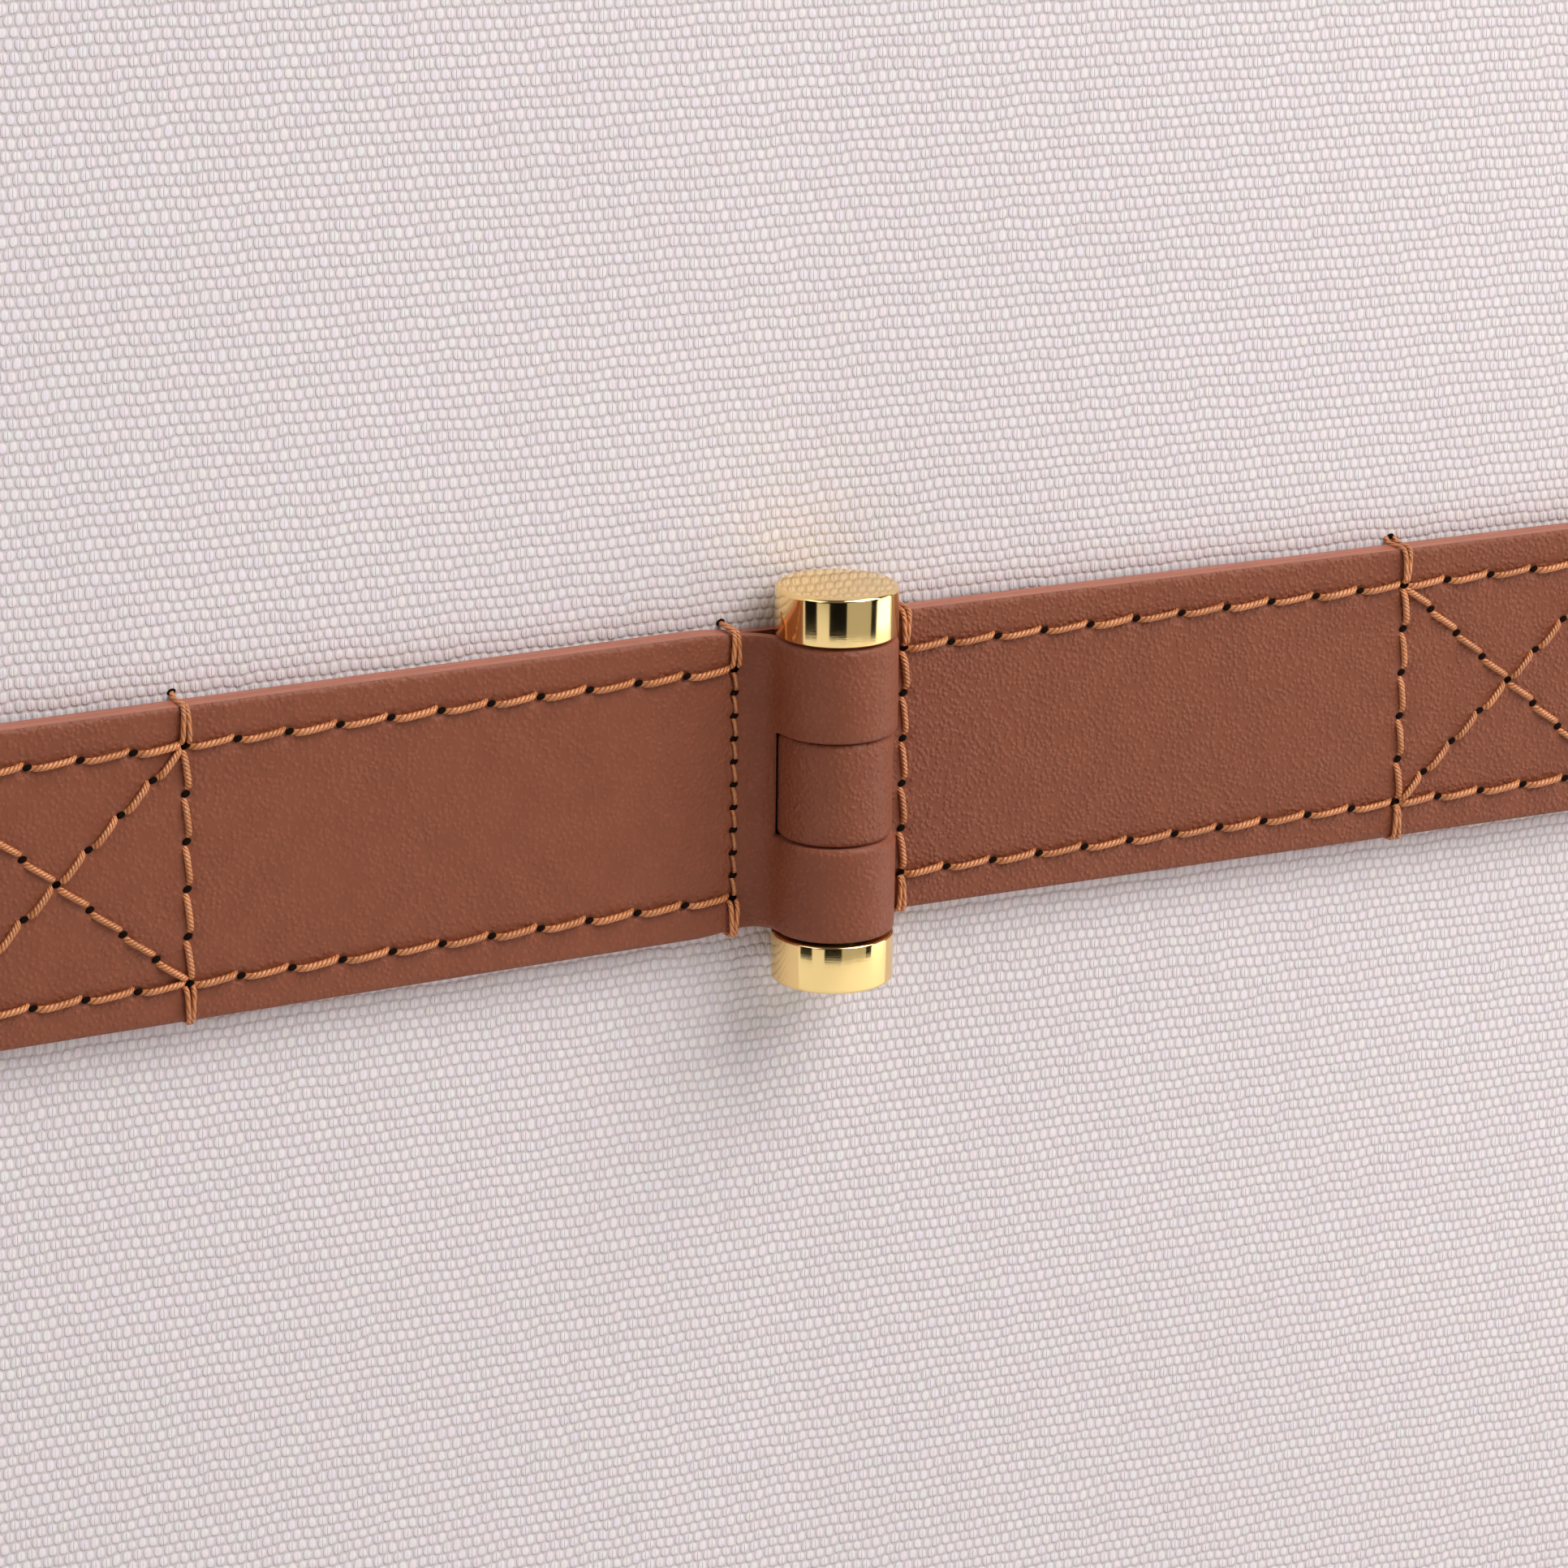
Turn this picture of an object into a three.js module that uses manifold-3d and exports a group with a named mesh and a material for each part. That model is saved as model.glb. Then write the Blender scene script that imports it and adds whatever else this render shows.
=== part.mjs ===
// Collapsible fabric storage bin with two leather strap hinges, as separate solids in millimetres.
//
// Frame: +Z up, the bin stands on Z = 0, its front wall faces -Y, and the origin is under its centre.
// Front and back walls are two stiffened halves each, which fold inwards at a sewn leather strap
// hinge in the middle. The left wall carries the floor, and the base insert lifts out.
import * as THREE from 'three';
import { mergeVertices } from 'three/addons/utils/BufferGeometryUtils.js';
import Module from 'manifold-3d';

const wasm = await Module();
wasm.setup();

// Overall size of the canvas shell, outer faces.
const HALF_X = 140;
const HALF_Y = 190;
const HEIGHT = 250;

// Layers of a wall, from the outside in. GAP is the clearance between neighbouring solids.
const GAP = 0.3;
const CANVAS = 1.0;
const PATCH = 0.8;
const BOARD = 2.6;
const LINING = 0.8;
const PATCH_IN = CANVAS + GAP;
const BOARD_IN = PATCH_IN + PATCH + GAP;
const LINING_IN = BOARD_IN + BOARD + GAP;
const WALL = LINING_IN + LINING;

// Floor, base insert and the lower edge of the walls, which clears the insert.
const FLOOR = 1.0;
const INSERT_BOARD = 2.4;
const INSERT_COVER = 0.7;
const INSERT_PLAY = 1.5;
const INSERT_COVER_Z = FLOOR + 2 * GAP + INSERT_BOARD;
const BASE_TOP = INSERT_COVER_Z + INSERT_COVER;
const WALL_Z = BASE_TOP + GAP;
const BOARD_RISE = 3;

// Binding folded over the top edge of each wall.
const BINDING = 0.9;
const BINDING_DROP = 18;
const WALL_TOP = HEIGHT - BINDING - GAP;
const CORNER_AXIS = WALL + 2;

// Middle fold of the front and back walls.
const BOARD_FOLD_GAP = 4;

// Strap hinge: the strap is folded back on itself around the pin, so it is two layers thick.
const STRAP_HEIGHT = 25;
const STRAP_Z = 150;
const STRAP_HALF = 82;
const STRAP = 2.3;
const BARREL_HEIGHT = 24;
const LOOP_RADIUS = 4.9;
const LOOP_WALL = 1.05;
const STRAP_BACK = HALF_Y + GAP;
const AXIS_TO_STRAP = 2.8;
const PIN_Y = STRAP_BACK + STRAP + AXIS_TO_STRAP;
const KNUCKLE_CLEARANCE = 0.45;
const KNUCKLES = { top: 7.5, middle: 8.25, bottom: 7.65 };
const PIN_RADIUS = LOOP_RADIUS - LOOP_WALL - GAP;
const SPIGOT_RADIUS = 2;
const SPIGOT_LENGTH = 2;
const CAP_HEIGHT = 4.05;
const CAP_EDGE = 0.5;
const PATCH_SIZE = 29;
const PATCH_CENTRE = 69.5;
const ROUND_SEGMENTS = 40;

// Finishes.
const canvasPaint = { color: 0xb9b2aa, roughness: 0.95, metalness: 0 };
const liningPaint = { color: 0xcfc8bd, roughness: 0.95, metalness: 0 };
const boardPaint = { color: 0x8c7d68, roughness: 0.9, metalness: 0 };
const leatherPaint = { color: 0x7a3f27, roughness: 0.5, metalness: 0 };
const brassPaint = { color: 0xd9a441, roughness: 0.2, metalness: 1 };

/** A solid of the boolean library from a closed three.js geometry. */
function solid(geometry) {
  const bare = geometry.clone();
  bare.deleteAttribute('normal');
  bare.deleteAttribute('uv');
  const merged = mergeVertices(bare, 1e-5);
  return new wasm.Manifold(new wasm.Mesh({
    numProp: 3,
    vertProperties: new Float32Array(merged.attributes.position.array),
    triVerts: new Uint32Array(merged.index.array),
  }));
}

/** A three.js geometry from a solid of the boolean library. */
function geometryOf(shape) {
  const mesh = shape.getMesh();
  const geometry = new THREE.BufferGeometry();
  geometry.setAttribute('position', new THREE.BufferAttribute(mesh.vertProperties, 3));
  geometry.setIndex(new THREE.BufferAttribute(mesh.triVerts, 1));
  return geometry;
}

/** A box from its lowest and highest corners. */
function slab(low, high) {
  const size = high.map((value, axis) => value - low[axis]);
  const middle = high.map((value, axis) => (value + low[axis]) / 2);
  return new THREE.BoxGeometry(...size).translate(...middle);
}

/** A round bar along Z around the axis X = Y = 0. */
function bar(radius, bottom, top) {
  const geometry = new THREE.CylinderGeometry(radius, radius, top - bottom, ROUND_SEGMENTS);
  return geometry.rotateX(Math.PI / 2).translate(0, 0, (bottom + top) / 2);
}

/** A turned piece along Z from a profile of [radius, height] points. */
function turned(profile) {
  const points = profile.map(([radius, height]) => new THREE.Vector2(radius, height));
  return new THREE.LatheGeometry(points, ROUND_SEGMENTS).rotateX(Math.PI / 2);
}

/** A mesh with its node name and its own material. */
function part(name, geometry, paint) {
  const mesh = new THREE.Mesh(geometry, new THREE.MeshStandardMaterial(paint));
  mesh.name = name;
  return mesh;
}

/** Left or right wall: canvas, board, lining and binding. side is -1 for left and +1 for right. */
function sideWall(name, side) {
  const layer = (inset, thickness, halfLength, bottom, top) => {
    const outside = side * (HALF_X - inset);
    const inside = side * (HALF_X - inset - thickness);
    return slab(
      [Math.min(outside, inside), -halfLength, bottom],
      [Math.max(outside, inside), halfLength, top],
    );
  };
  const inner = HALF_Y - LINING_IN;
  return [
    part(`${name}_canvas`, layer(0, CANVAS, HALF_Y, WALL_Z, WALL_TOP), canvasPaint),
    part(`${name}_board`, layer(BOARD_IN, BOARD, inner, WALL_Z + BOARD_RISE, WALL_TOP - GAP), boardPaint),
    part(`${name}_lining`, layer(LINING_IN, LINING, inner, WALL_Z, WALL_TOP), liningPaint),
    part(`${name}_binding`, binding(HALF_Y - WALL - 2).rotateZ(side * Math.PI / 2)
      .translate(side * HALF_X, 0, 0), canvasPaint),
  ];
}

/** The folded binding of a wall whose outer face is Y = 0 and faces -Y, from -reach to +reach in X. */
function binding(reach) {
  const outside = -GAP - BINDING;
  const inside = WALL + GAP + BINDING;
  const block = slab([-reach, outside, HEIGHT - BINDING_DROP], [reach, inside, HEIGHT]);
  const channel = slab(
    [-reach - 1, -GAP, HEIGHT - BINDING_DROP - 1],
    [reach + 1, WALL + GAP, HEIGHT - BINDING],
  );
  return geometryOf(solid(block).subtract(solid(channel)));
}

/** One half of a folding wall, drawn as the front wall's left half. */
function halfWall(name, mirror) {
  const layer = (inset, thickness, from, to, bottom, top) => mirrored(slab(
    [from, -HALF_Y + inset, bottom],
    [to, -HALF_Y + inset + thickness, top],
  ), mirror);
  const canvasEnd = -HALF_X + CANVAS + GAP;
  const liningEnd = -HALF_X + WALL + GAP;
  const bindingEnd = -HALF_X + CORNER_AXIS + 2 * GAP;
  const bindingHalf = (-GAP - bindingEnd) / 2;
  const patchLow = -PATCH_CENTRE - PATCH_SIZE / 2;
  return [
    part(`${name}_canvas`, layer(0, CANVAS, canvasEnd, -GAP, WALL_Z, WALL_TOP), canvasPaint),
    part(`${name}_patch`, layer(PATCH_IN, PATCH, patchLow, patchLow + PATCH_SIZE,
      STRAP_Z - PATCH_SIZE / 2, STRAP_Z + PATCH_SIZE / 2), canvasPaint),
    part(`${name}_board`, layer(BOARD_IN, BOARD, canvasEnd + GAP, -BOARD_FOLD_GAP,
      WALL_Z + BOARD_RISE, WALL_TOP - GAP), boardPaint),
    part(`${name}_lining`, layer(LINING_IN, LINING, liningEnd, -GAP, WALL_Z, WALL_TOP), liningPaint),
    part(`${name}_binding`, mirrored(binding(bindingHalf)
      .translate((bindingEnd - GAP) / 2, -HALF_Y, 0), mirror), canvasPaint),
  ];
}

/** The geometry mirrored in X when asked, with its faces still pointing out. */
function mirrored(geometry, mirror) {
  if (!mirror) {
    return geometry;
  }
  return geometryOf(solid(geometry).mirror([1, 0, 0]));
}

/** Half of the strap with the knuckles in the Z ranges given, around the pin axis X = Y = 0. */
function strapHalf(knuckles) {
  const slabEnd = -LOOP_RADIUS - KNUCKLE_CLEARANCE;
  const back = AXIS_TO_STRAP + STRAP;
  const half = STRAP_HEIGHT / 2;
  let shape = solid(slab([-STRAP_HALF, AXIS_TO_STRAP, -half], [slabEnd, back, half]));
  for (const [bottom, top] of knuckles) {
    const loop = solid(bar(LOOP_RADIUS, bottom, top));
    const tail = solid(slab([slabEnd - 1, AXIS_TO_STRAP, bottom], [0, back, top]));
    const hole = solid(bar(LOOP_RADIUS - LOOP_WALL, bottom - 1, top + 1));
    shape = shape.add(loop.add(tail).subtract(hole));
  }
  return geometryOf(shape);
}

/** The pin: a plain shaft with a spigot at each end that a cap is pressed on. */
function pinShaft() {
  const end = BARREL_HEIGHT / 2;
  const tip = end + GAP + SPIGOT_LENGTH;
  return turned([
    [0, -tip],
    [SPIGOT_RADIUS, -tip],
    [SPIGOT_RADIUS, -end],
    [PIN_RADIUS, -end],
    [PIN_RADIUS, end],
    [SPIGOT_RADIUS, end],
    [SPIGOT_RADIUS, tip],
    [0, tip],
  ]);
}

/** A cap, drawn as the top one: a disc with rounded edges and a blind bore for the spigot. */
function pinCap() {
  const bottom = BARREL_HEIGHT / 2 + GAP;
  const top = bottom + CAP_HEIGHT;
  const bore = SPIGOT_RADIUS + GAP;
  const depth = bottom + SPIGOT_LENGTH + GAP;
  const profile = [[0, depth], [bore, depth], [bore, bottom]];
  const steps = 3;
  for (const [height, start] of [[bottom + CAP_EDGE, -Math.PI / 2], [top - CAP_EDGE, 0]]) {
    for (let step = 0; step <= steps; step += 1) {
      const angle = start + (step / steps) * Math.PI / 2;
      const radius = LOOP_RADIUS - CAP_EDGE + CAP_EDGE * Math.cos(angle);
      profile.push([radius, height + CAP_EDGE * Math.sin(angle)]);
    }
  }
  profile.push([0, top]);
  return turned(profile);
}

/** Strap halves, pin and caps of one wall, drawn on the front wall. */
function strapHinge(name) {
  const half = BARREL_HEIGHT / 2;
  const outer = [[half - KNUCKLES.top, half], [-half, -half + KNUCKLES.bottom]];
  const middleBottom = -half + KNUCKLES.bottom + GAP;
  const middle = [[middleBottom, middleBottom + KNUCKLES.middle]];
  const group = new THREE.Group();
  group.position.set(0, -PIN_Y, STRAP_Z);
  group.add(
    part(`${name}_strap_left`, strapHalf(outer), leatherPaint),
    part(`${name}_strap_right`, mirrored(strapHalf(middle), true), leatherPaint),
    part(`${name}_hinge_pin`, pinShaft(), brassPaint),
    part(`${name}_pin_cap_top`, pinCap(), brassPaint),
    part(`${name}_pin_cap_bottom`, pinCap().rotateX(Math.PI), brassPaint),
  );
  return group;
}

/** A folding wall with its strap hinge, drawn as the front wall. */
function foldingWall(name) {
  const group = new THREE.Group();
  group.add(
    ...halfWall(`${name}_left`, false),
    ...halfWall(`${name}_right`, true),
    strapHinge(name),
  );
  return group;
}

/** Floor canvas, the seam tape around its edge, and the lift-out insert with its cover. */
function base() {
  const insertX = HALF_X - WALL - INSERT_PLAY;
  const insertY = HALF_Y - WALL - INSERT_PLAY;
  const tapeInner = WALL + GAP;
  const tape = solid(slab([-HALF_X, -HALF_Y, FLOOR + GAP], [HALF_X, HALF_Y, BASE_TOP]));
  const well = solid(slab(
    [-HALF_X + tapeInner, -HALF_Y + tapeInner, 0],
    [HALF_X - tapeInner, HALF_Y - tapeInner, BASE_TOP + 1],
  ));
  const boardTop = FLOOR + GAP + INSERT_BOARD;
  return [
    part('floor_canvas', slab([-HALF_X, -HALF_Y, 0], [HALF_X, HALF_Y, FLOOR]), canvasPaint),
    part('base_seam_tape', geometryOf(tape.subtract(well)), canvasPaint),
    part('insert_board', slab([-insertX, -insertY, FLOOR + GAP], [insertX, insertY, boardTop]), boardPaint),
    part('insert_cover', slab([-insertX, -insertY, INSERT_COVER_Z], [insertX, insertY, BASE_TOP]), liningPaint),
  ];
}

const bin = new THREE.Group();
const front = foldingWall('front');
const back = foldingWall('back');
back.rotation.z = Math.PI;
bin.add(...base(), ...sideWall('left', -1), ...sideWall('right', 1), front, back);

export default bin;
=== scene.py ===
"""The looks of a collapsible canvas storage bin with leather strap hinges, built around its frame.

The frame gives every place and joint. This script adds the sewn canvas shell, the lining, the
binding, the leather straps with their stitches, the gilt pin caps, the finishes, and the studio.
"""

import logging
import math
from dataclasses import dataclass, field
from enum import Enum
from typing import Iterable, Sequence

import bmesh
import bpy
import numpy as np
from mathutils import Matrix, Vector


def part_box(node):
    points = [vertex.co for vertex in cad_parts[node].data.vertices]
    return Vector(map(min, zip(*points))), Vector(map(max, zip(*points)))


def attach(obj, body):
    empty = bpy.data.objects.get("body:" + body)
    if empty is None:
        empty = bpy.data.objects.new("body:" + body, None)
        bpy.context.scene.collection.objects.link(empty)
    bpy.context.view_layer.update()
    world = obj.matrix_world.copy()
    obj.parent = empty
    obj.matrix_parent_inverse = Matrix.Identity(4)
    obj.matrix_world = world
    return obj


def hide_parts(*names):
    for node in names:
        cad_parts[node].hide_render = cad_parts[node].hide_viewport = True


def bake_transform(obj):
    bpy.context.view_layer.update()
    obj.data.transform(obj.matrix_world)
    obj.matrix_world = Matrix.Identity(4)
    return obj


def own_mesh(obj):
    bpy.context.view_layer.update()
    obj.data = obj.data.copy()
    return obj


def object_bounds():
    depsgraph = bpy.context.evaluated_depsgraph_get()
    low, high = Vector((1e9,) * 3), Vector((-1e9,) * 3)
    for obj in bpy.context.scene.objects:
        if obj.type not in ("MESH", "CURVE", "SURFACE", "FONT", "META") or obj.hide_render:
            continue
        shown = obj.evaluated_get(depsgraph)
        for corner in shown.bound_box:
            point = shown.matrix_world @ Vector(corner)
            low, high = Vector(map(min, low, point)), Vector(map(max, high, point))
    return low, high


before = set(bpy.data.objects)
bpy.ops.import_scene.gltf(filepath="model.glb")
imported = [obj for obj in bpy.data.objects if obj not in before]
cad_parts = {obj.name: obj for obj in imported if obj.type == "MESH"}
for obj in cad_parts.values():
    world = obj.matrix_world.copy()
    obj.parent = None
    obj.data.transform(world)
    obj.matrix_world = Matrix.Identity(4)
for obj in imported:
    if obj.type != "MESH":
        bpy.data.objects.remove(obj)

CAD_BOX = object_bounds()
MM = 0.001
CLOTH_UV = "cloth"
log = logging.getLogger("storage_bin")

Colour = tuple[float, float, float]
Point = tuple[float, float, float]
Value = float | bpy.types.NodeSocket


# ---------------------------------------------------------------------------------------------
# Node graphs


class Graph:
    """A node tree with short calls for the nodes that the finishes and the trees use."""

    def __init__(self, tree: bpy.types.NodeTree) -> None:
        """Start an empty graph in a node tree."""
        self.tree = tree
        tree.nodes.clear()

    def node(self, kind: str, **settings: object) -> bpy.types.Node:
        """Add a node.

        Args:
            kind: the node's type name.
            settings: the node's properties.
        Returns:
            The new node.
        """
        made = self.tree.nodes.new(kind)
        for key, value in settings.items():
            setattr(made, key, value)
        return made

    def feed(self, socket: bpy.types.NodeSocket, value: object) -> None:
        """Link a socket to a socket, or set its default value."""
        if isinstance(value, bpy.types.NodeSocket):
            self.tree.links.new(value, socket)
        elif value is not None:
            socket.default_value = value

    def call(self, kind: str, inputs: dict[int | str, object], out: int | str = 0,
             **settings: object) -> bpy.types.NodeSocket:
        """Add a node, feed its inputs, and give one of its outputs.

        Args:
            kind: the node's type name.
            inputs: values or sockets by input name or number.
            out: the output wanted.
            settings: the node's properties.
        Returns:
            The output socket.
        """
        made = self.node(kind, **settings)
        for key, value in inputs.items():
            self.feed(made.inputs[key], value)
        return made.outputs[out]

    def math(self, operation: str, a: Value, b: Value | None = None,
             c: Value | None = None) -> bpy.types.NodeSocket:
        """A math node of one to three inputs."""
        return self.call("ShaderNodeMath", {0: a, 1: b, 2: c}, operation=operation)

    def scaled(self, vector: bpy.types.NodeSocket, factor: float) -> bpy.types.NodeSocket:
        """A vector times a number."""
        return self.call("ShaderNodeVectorMath", {0: vector, "Scale": factor}, operation="SCALE")

    def vector_math(self, operation: str, a: object, b: object = None,
                    out: int = 0) -> bpy.types.NodeSocket:
        """A vector math node of one or two inputs."""
        return self.call("ShaderNodeVectorMath", {0: a, 1: b}, out, operation=operation)

    def ramp(self, value: Value, low: float, high: float, to_low: float = 0.0,
             to_high: float = 1.0) -> bpy.types.NodeSocket:
        """A smooth step from one range to another."""
        inputs = {0: value, 1: low, 2: high, 3: to_low, 4: to_high}
        return self.call("ShaderNodeMapRange", inputs, interpolation_type="SMOOTHSTEP")

    def mix(self, factor: Value, a: object, b: object) -> bpy.types.NodeSocket:
        """A colour between two colours."""
        made = self.node("ShaderNodeMix", data_type="RGBA")
        self.feed(made.inputs[0], factor)
        self.feed(made.inputs[6], paint(a))
        self.feed(made.inputs[7], paint(b))
        return made.outputs[2]

    def noise(self, vector: bpy.types.NodeSocket, scale: float, detail: float = 2.0,
              out: str = "Fac") -> bpy.types.NodeSocket:
        """Noise over a vector, from 0 to 1."""
        inputs = {"Vector": vector, "Scale": scale, "Detail": detail}
        return self.call("ShaderNodeTexNoise", inputs, out)


def paint(value: object) -> object:
    """A colour with its alpha, where the value is a colour."""
    return (*value, 1.0) if isinstance(value, tuple) and len(value) == 3 else value


@dataclass(frozen=True)
class Finish:
    """What every finish has: a name and a base colour."""

    name: str
    colour: Colour

    def surface(self, graph: Graph, shader: bpy.types.Node) -> None:
        """Link the finish's pattern to the shader; each finish has its own."""

    def material(self) -> bpy.types.Material:
        """The finish as a Blender material, made once.

        Returns:
            The material.
        """
        made = bpy.data.materials.get(self.name)
        if made is None:
            made = bpy.data.materials.new(self.name)
            made.use_nodes = True
            made.diffuse_color = (*self.colour, 1.0)
            graph = Graph(made.node_tree)
            shader = graph.node("ShaderNodeBsdfPrincipled")
            out = graph.node("ShaderNodeOutputMaterial")
            graph.feed(out.inputs["Surface"], shader.outputs["BSDF"])
            self.surface(graph, shader)
        return made


def bump(graph: Graph, shader: bpy.types.Node, height: bpy.types.NodeSocket, depth_mm: float,
         strength: float = 1.0) -> None:
    """Link a height from 0 to 1 to a shader's normal.

    Args:
        graph: the material's graph.
        shader: the principled shader.
        height: the pattern's height.
        depth_mm: what a height of 1 stands for.
        strength: how much of it shows.
    """
    inputs = {"Strength": strength, "Distance": depth_mm * MM, "Height": height}
    graph.feed(shader.inputs["Normal"], graph.call("ShaderNodeBump", inputs, "Normal"))


@dataclass(frozen=True)
class PlainWeave(Finish):
    """Cotton duck: paired warp ends that rise over single picks in brick order."""

    end_mm: float
    pick_mm: float
    # Colour of the weft between the raised ends, set darker partly for the weft and partly as
    # painted shade in the recess.
    weft: Colour
    # Colour of the painted shade in the crease between picks.
    gap: Colour
    depth_mm: float
    rise_mm: float = 0.44
    swell_mm: float = 0.37
    lean: float = 0.0086
    wobble: float = 0.34
    split: float = 0.42
    contrast: float = 1.0

    def bump_field(self, graph: Graph, u: Value, v: Value, shift: float,
                   ) -> tuple[bpy.types.NodeSocket, bpy.types.NodeSocket]:
        """The bumps of one of the two interleaved lattices.

        Args:
            graph: the material's graph.
            u: place across the warp, in ends.
            v: place along the warp, in picks.
            shift: 0 for the first lattice and 0.5 for the second.
        Returns:
            Height from 0 to 1, and a random value for each bump.
        """
        column = graph.math("MULTIPLY_ADD", u, 0.5, shift)
        row = graph.math("MULTIPLY_ADD", v, 0.5, shift)
        inputs = {0: graph.math("FLOOR", column), 1: graph.math("FLOOR", row), 2: shift}
        cell = graph.call("ShaderNodeCombineXYZ", inputs)
        chance = graph.call("ShaderNodeTexWhiteNoise", {"Vector": cell}, "Value")
        across = graph.math("ABSOLUTE", graph.math("SUBTRACT", graph.math("FRACT", column), 0.5))
        along = graph.math("ABSOLUTE", graph.math("SUBTRACT", graph.math("FRACT", row), 0.5))
        width = graph.math("MULTIPLY_ADD", chance, 0.14, 0.93)
        side = graph.math("MULTIPLY", across, 2 * self.end_mm / self.swell_mm)
        side = graph.math("DIVIDE", side, width)
        length = graph.math("MULTIPLY", along, 2 * self.pick_mm / self.rise_mm)
        round_off = graph.math("ADD", graph.math("POWER", side, 2.2),
                               graph.math("POWER", length, 2.4))
        left = graph.math("MAXIMUM", graph.math("SUBTRACT", 1.0, round_off), 0.0)
        dome = graph.math("SQRT", left)
        depth = graph.ramp(chance, 0.15, 0.8, 0.2 * self.split, self.split)
        crease = graph.math("MULTIPLY", graph.ramp(across, 0.0, 0.10, 1.0, 0.0), depth)
        return graph.math("MULTIPLY", dome, graph.math("SUBTRACT", 1.0, crease)), chance

    def row_crease(self, graph: Graph, u: Value, v: Value) -> bpy.types.NodeSocket:
        """The scalloped crease between picks, 1 in the crease and 0 away from it."""
        row = graph.math("FLOOR", v)
        sign = graph.math("MULTIPLY_ADD", graph.math("FLOORED_MODULO", row, 2.0), -2.0, 1.0)
        wave = graph.math("COSINE", graph.math("MULTIPLY", u, math.pi))
        scallop = graph.math("MULTIPLY", wave, sign)
        bend = graph.math("MULTIPLY_ADD", scallop, 0.07, 0.5)
        away = graph.math("ABSOLUTE", graph.math("SUBTRACT", graph.math("SUBTRACT", v, row), bend))
        return graph.ramp(away, 0.0, 0.2, 1.0, 0.0)

    def surface(self, graph: Graph, shader: bpy.types.Node) -> None:
        """Weave, slubs, the tint of single yarns, and painted shade: the sunken weft darker than
        the raised ends, and the creases between picks darker still.
        """
        metres = graph.scaled(graph.call("ShaderNodeUVMap", {}, uv_map=CLOTH_UV), 1 / MM)
        waver = graph.noise(metres, 0.33, 2.0, "Color")
        waver = graph.call("ShaderNodeSeparateXYZ", {0: waver}).node
        place = graph.call("ShaderNodeSeparateXYZ", {0: metres}).node
        across = graph.math("MULTIPLY_ADD", waver.outputs[0], self.wobble, graph.math(
            "DIVIDE", place.outputs[0], self.end_mm))
        up = graph.math("MULTIPLY_ADD", place.outputs[0], self.lean, place.outputs[1])
        up = graph.math("MULTIPLY_ADD", waver.outputs[1], 2.4 * self.wobble, graph.math(
            "DIVIDE", up, self.pick_mm))
        first, chance_a = self.bump_field(graph, across, up, 0.0)
        second, chance_b = self.bump_field(graph, across, up, 0.5)
        height = graph.math("MAXIMUM", first, second)
        chance = graph.call("ShaderNodeMix", {0: graph.math("GREATER_THAN", second, first),
                                              2: chance_a, 3: chance_b})

        crease = self.row_crease(graph, across, up)
        weft = graph.call("ShaderNodeCombineXYZ", {0: graph.math("MULTIPLY", across, 0.05), 1: up})
        slub = graph.ramp(graph.noise(weft, 0.8, 1.0), 0.60, 0.8)
        fibre = graph.noise(graph.vector_math("MULTIPLY", metres, (6.0, 1.6, 1.0)), 1.6, 3.0)
        swollen = graph.math("MULTIPLY", height, graph.ramp(chance, 0.0, 1.0, 0.86, 1.06))
        tint = graph.vector_math("MULTIPLY", metres, (1.0, 0.55, 1.0))
        tint = graph.noise(tint, 0.85, 2.0, "Color")
        yarn = graph.mix(graph.ramp(slub, 0.0, 1.0, 0.0, 0.5), self.colour,
                         tuple(c * k for c, k in zip(self.colour, (0.94, 0.91, 0.86))))
        yarn = graph.mix(0.055, yarn, tint)
        shade = graph.call("ShaderNodeTexWhiteNoise", {"W": graph.math("MULTIPLY", chance, 97.0)},
                           "Color", noise_dimensions="1D")
        yarn = graph.mix(0.045, yarn, shade)
        yarn = graph.mix(graph.ramp(chance, 0.0, 1.0, 0.0, 0.10), yarn,
                         tuple(c * 0.78 for c in self.colour))
        yarn = graph.mix(graph.ramp(graph.noise(metres, 0.035, 2.0), 0.35, 0.7, 0.0, 0.12), yarn,
                         tuple(c * 0.84 for c in self.colour))
        lit = graph.ramp(height, 0.0, 0.78)
        streak = graph.ramp(fibre, 0.35, 0.65, 0.10, 0.0)
        yarn = graph.mix(streak, yarn, tuple(c * 0.7 for c in self.colour))
        # Painted shade: where the ends sink, the colour goes to the weft colour, which is darker
        # partly as painted shade in the recess.
        cloth = graph.mix(lit, self.weft, yarn)
        # Painted shade: the crease between picks is darkened towards the gap colour, more where the
        # ends sink.
        crease_shade = graph.math("MULTIPLY", crease, graph.math("MULTIPLY_ADD", lit, -0.26, 0.40))
        graph.feed(shader.inputs["Base Color"], graph.mix(crease_shade, cloth, self.gap))
        shader.inputs["Roughness"].default_value = 0.92
        shader.inputs["Specular IOR Level"].default_value = 0.18
        shader.inputs["Sheen Weight"].default_value = 0.10
        shader.inputs["Sheen Roughness"].default_value = 0.6
        swollen = graph.math("MULTIPLY_ADD", crease, -0.10, swollen)
        bump(graph, shader, graph.math("MULTIPLY_ADD", fibre, 0.26, swollen), self.depth_mm,
             0.9 * self.contrast)


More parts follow.
